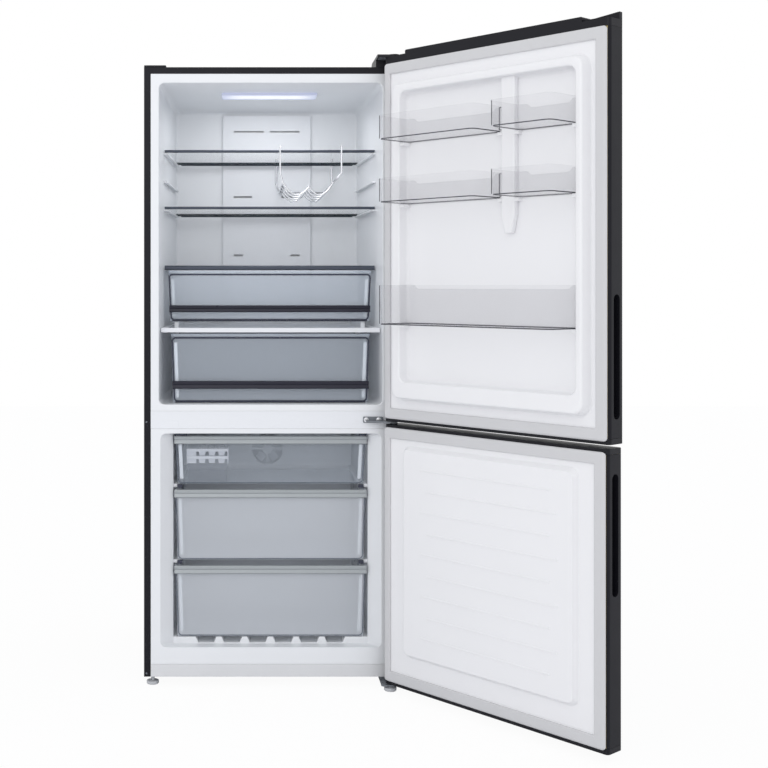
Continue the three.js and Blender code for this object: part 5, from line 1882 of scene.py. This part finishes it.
@dataclass
class Hinges(Assembly):
    """Hinges, their cover, their screws, and the feet.

    Attributes:
        screws: Where each screw of the middle hinge is across.
        screw_seat: Its place inwards and its height.
        screw_radius: Its radius.
    """

    screws: tuple[tuple[str, float], ...] = (("left", 263.8), ("right", 298.4))
    screw_seat: Pair = (-3.3, 736.2)
    screw_radius: float = 7.0

    def build(self) -> None:
        """Builds them."""
        place = Place("cabinet")
        self.dress(
            {
                "top_hinge": (Look.GREY_PAINT, 0.6),
                "middle_hinge": (Look.GREY_PAINT, 0.6),
                "bottom_hinge": (Look.GREY_PAINT, 0.6),
                "hinge_cover": (Look.BLACK_PLASTIC, 1.2),
            },
            place,
        )
        for side, x in self.screws:
            seat = (x, *self.screw_seat)
            self.screw(f"hinge_screw_{side}", place, seat, self.screw_radius, Look.SCREW)
        for side in ("left", "right"):
            self.refine(f"{side}_foot", Place(f"{side}_foot"), Look.FOOT, 0.4)


# --------------------------------------------------------------------------------------- the studio


@dataclass(frozen=True)
class Lamp:
    """A square soft lamp.

    Attributes:
        name: Its name.
        where: Its place in the cabinet's millimetres.
        target: What it points at.
        size: Its side in metres.
        watts: Its power.
    """

    name: str
    where: Triple
    target: Triple
    size: float
    watts: float


@dataclass
class Studio:
    """Camera, floor, lamps and surroundings.

    Attributes:
        eye: Place of the camera in the cabinet's millimetres.
        lens: Focal length in millimetres.
        sensor: Width of the sensor in millimetres.
        shift: Shift of the picture, as shares of its width.
        floor_size: Side of the floor in millimetres.
        floor_shade: Colour of the floor as the lamps light it.
        floor_white: Share of plain white in the floor as the camera sees it.
        room_shade: Colour of the light from all round.
        room_light: Strength of that light.
        room_mirrored: Share of white where a gloss mirrors the room.
        lamps: The lamps.
    """

    eye: Triple = (-86.56, -3474.96, 1110.0)
    lens: float = 58.85
    sensor: float = 36.0
    shift: Pair = (0.1881, -0.1294)
    floor_size: float = 16000.0
    floor_shade: Triple = (244.0, 244.0, 246.0)
    floor_white: float = 0.95
    room_shade: Triple = (250.0, 251.0, 253.0)
    room_light: float = 0.95
    room_mirrored: float = 0.4
    lamps: tuple[Lamp, ...] = (
        Lamp("front_lamp", (-900.0, -3200.0, 2300.0), (0.0, 0.0, 900.0), 2.4, 17.0),
        Lamp("ceiling_lamp", (0.0, 200.0, 1640.0), (0.0, 330.0, 900.0), 0.3, 1.0),
    )
    place: Place = field(default_factory=lambda: Place("cabinet"))

    def camera(self) -> None:
        """Adds the camera at the photograph's viewpoint, level and square to the cabinet."""
        data = bpy.data.cameras.new("camera")
        data.lens = self.lens
        data.sensor_width = self.sensor
        data.shift_x, data.shift_y = self.shift
        camera = stand("camera", data)
        camera.location = self.place.matrix @ Vector(self.eye)
        camera.rotation_euler = (math.radians(90), 0.0, 0.0)
        bpy.context.scene.camera = camera

    def light(self, lamp: Lamp) -> None:
        """Adds a lamp.

        Args:
            lamp: The lamp.
        """
        data = bpy.data.lights.new(lamp.name, "AREA")
        data.size = lamp.size
        data.energy = lamp.watts
        made = stand(lamp.name, data)
        made.location = self.place.matrix @ Vector(lamp.where)
        aim = self.place.matrix @ Vector(lamp.target) - made.location
        made.rotation_euler = aim.to_track_quat("-Z", "Y").to_euler()

    def floor(self) -> None:
        """Adds a pale floor that keeps the object's soft shadow."""
        mesh = bmesh.new()
        size = self.floor_size * MILLIMETRE
        bmesh.ops.create_grid(mesh, x_segments=1, y_segments=1, size=size / 2)
        data = bpy.data.meshes.new("floor")
        mesh.to_mesh(data)
        mesh.free()
        floor = stand("floor", data)
        material = bpy.data.materials.new("floor")
        material.use_nodes = True
        graph = Graph(material.node_tree)
        seen = graph.add("ShaderNodeLightPath", output="Is Camera Ray")
        plain = graph.add("ShaderNodeBsdfDiffuse", {}, {"Color": linear(*self.floor_shade)})
        white = graph.add("ShaderNodeEmission", {}, {"Color": WHITE})
        mix = graph.add("ShaderNodeMixShader", {}, {0: seen * self.floor_white, 1: plain, 2: white})
        graph.add("ShaderNodeOutputMaterial", {}, {"Surface": mix})
        data.materials.append(material)

    def surroundings(self) -> None:
        """Lights the room softly, and shows white wherever nothing stands."""
        world = bpy.data.worlds.new("room")
        bpy.context.scene.world = world
        world.use_nodes = True
        graph = Graph(world.node_tree)
        camera, glossy, through = (
            graph.add("ShaderNodeLightPath", output=f"Is {kind} Ray")
            for kind in ("Camera", "Glossy", "Transmission")
        )
        seen = (camera + glossy * self.room_mirrored + through).clamped()
        inputs = {"Color": linear(*self.room_shade), "Strength": self.room_light}
        room = graph.add("ShaderNodeBackground", {}, inputs)
        white = graph.add("ShaderNodeBackground", {}, {"Color": WHITE, "Strength": 1.0})
        mix = graph.add("ShaderNodeMixShader", {}, {0: seen, 1: room, 2: white})
        graph.add("ShaderNodeOutputWorld", {}, {"Surface": mix})

    def build(self) -> None:
        """Builds the studio."""
        bpy.context.scene.view_settings.view_transform = "Standard"
        self.camera()
        self.floor()
        self.surroundings()
        for lamp in self.lamps:
            self.light(lamp)


def main() -> None:
    """Builds the refrigerator over its frame."""
    logging.basicConfig(level=logging.INFO, format="%(name)s: %(message)s")
    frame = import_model()
    Studio().build()
    for part in (Cabinet, Shelves, Tubs, UpperDoor, LowerDoor, Hinges):
        part(frame).build()
        log.info("built %s", part.__name__)


if __name__ == "__main__":
    main()
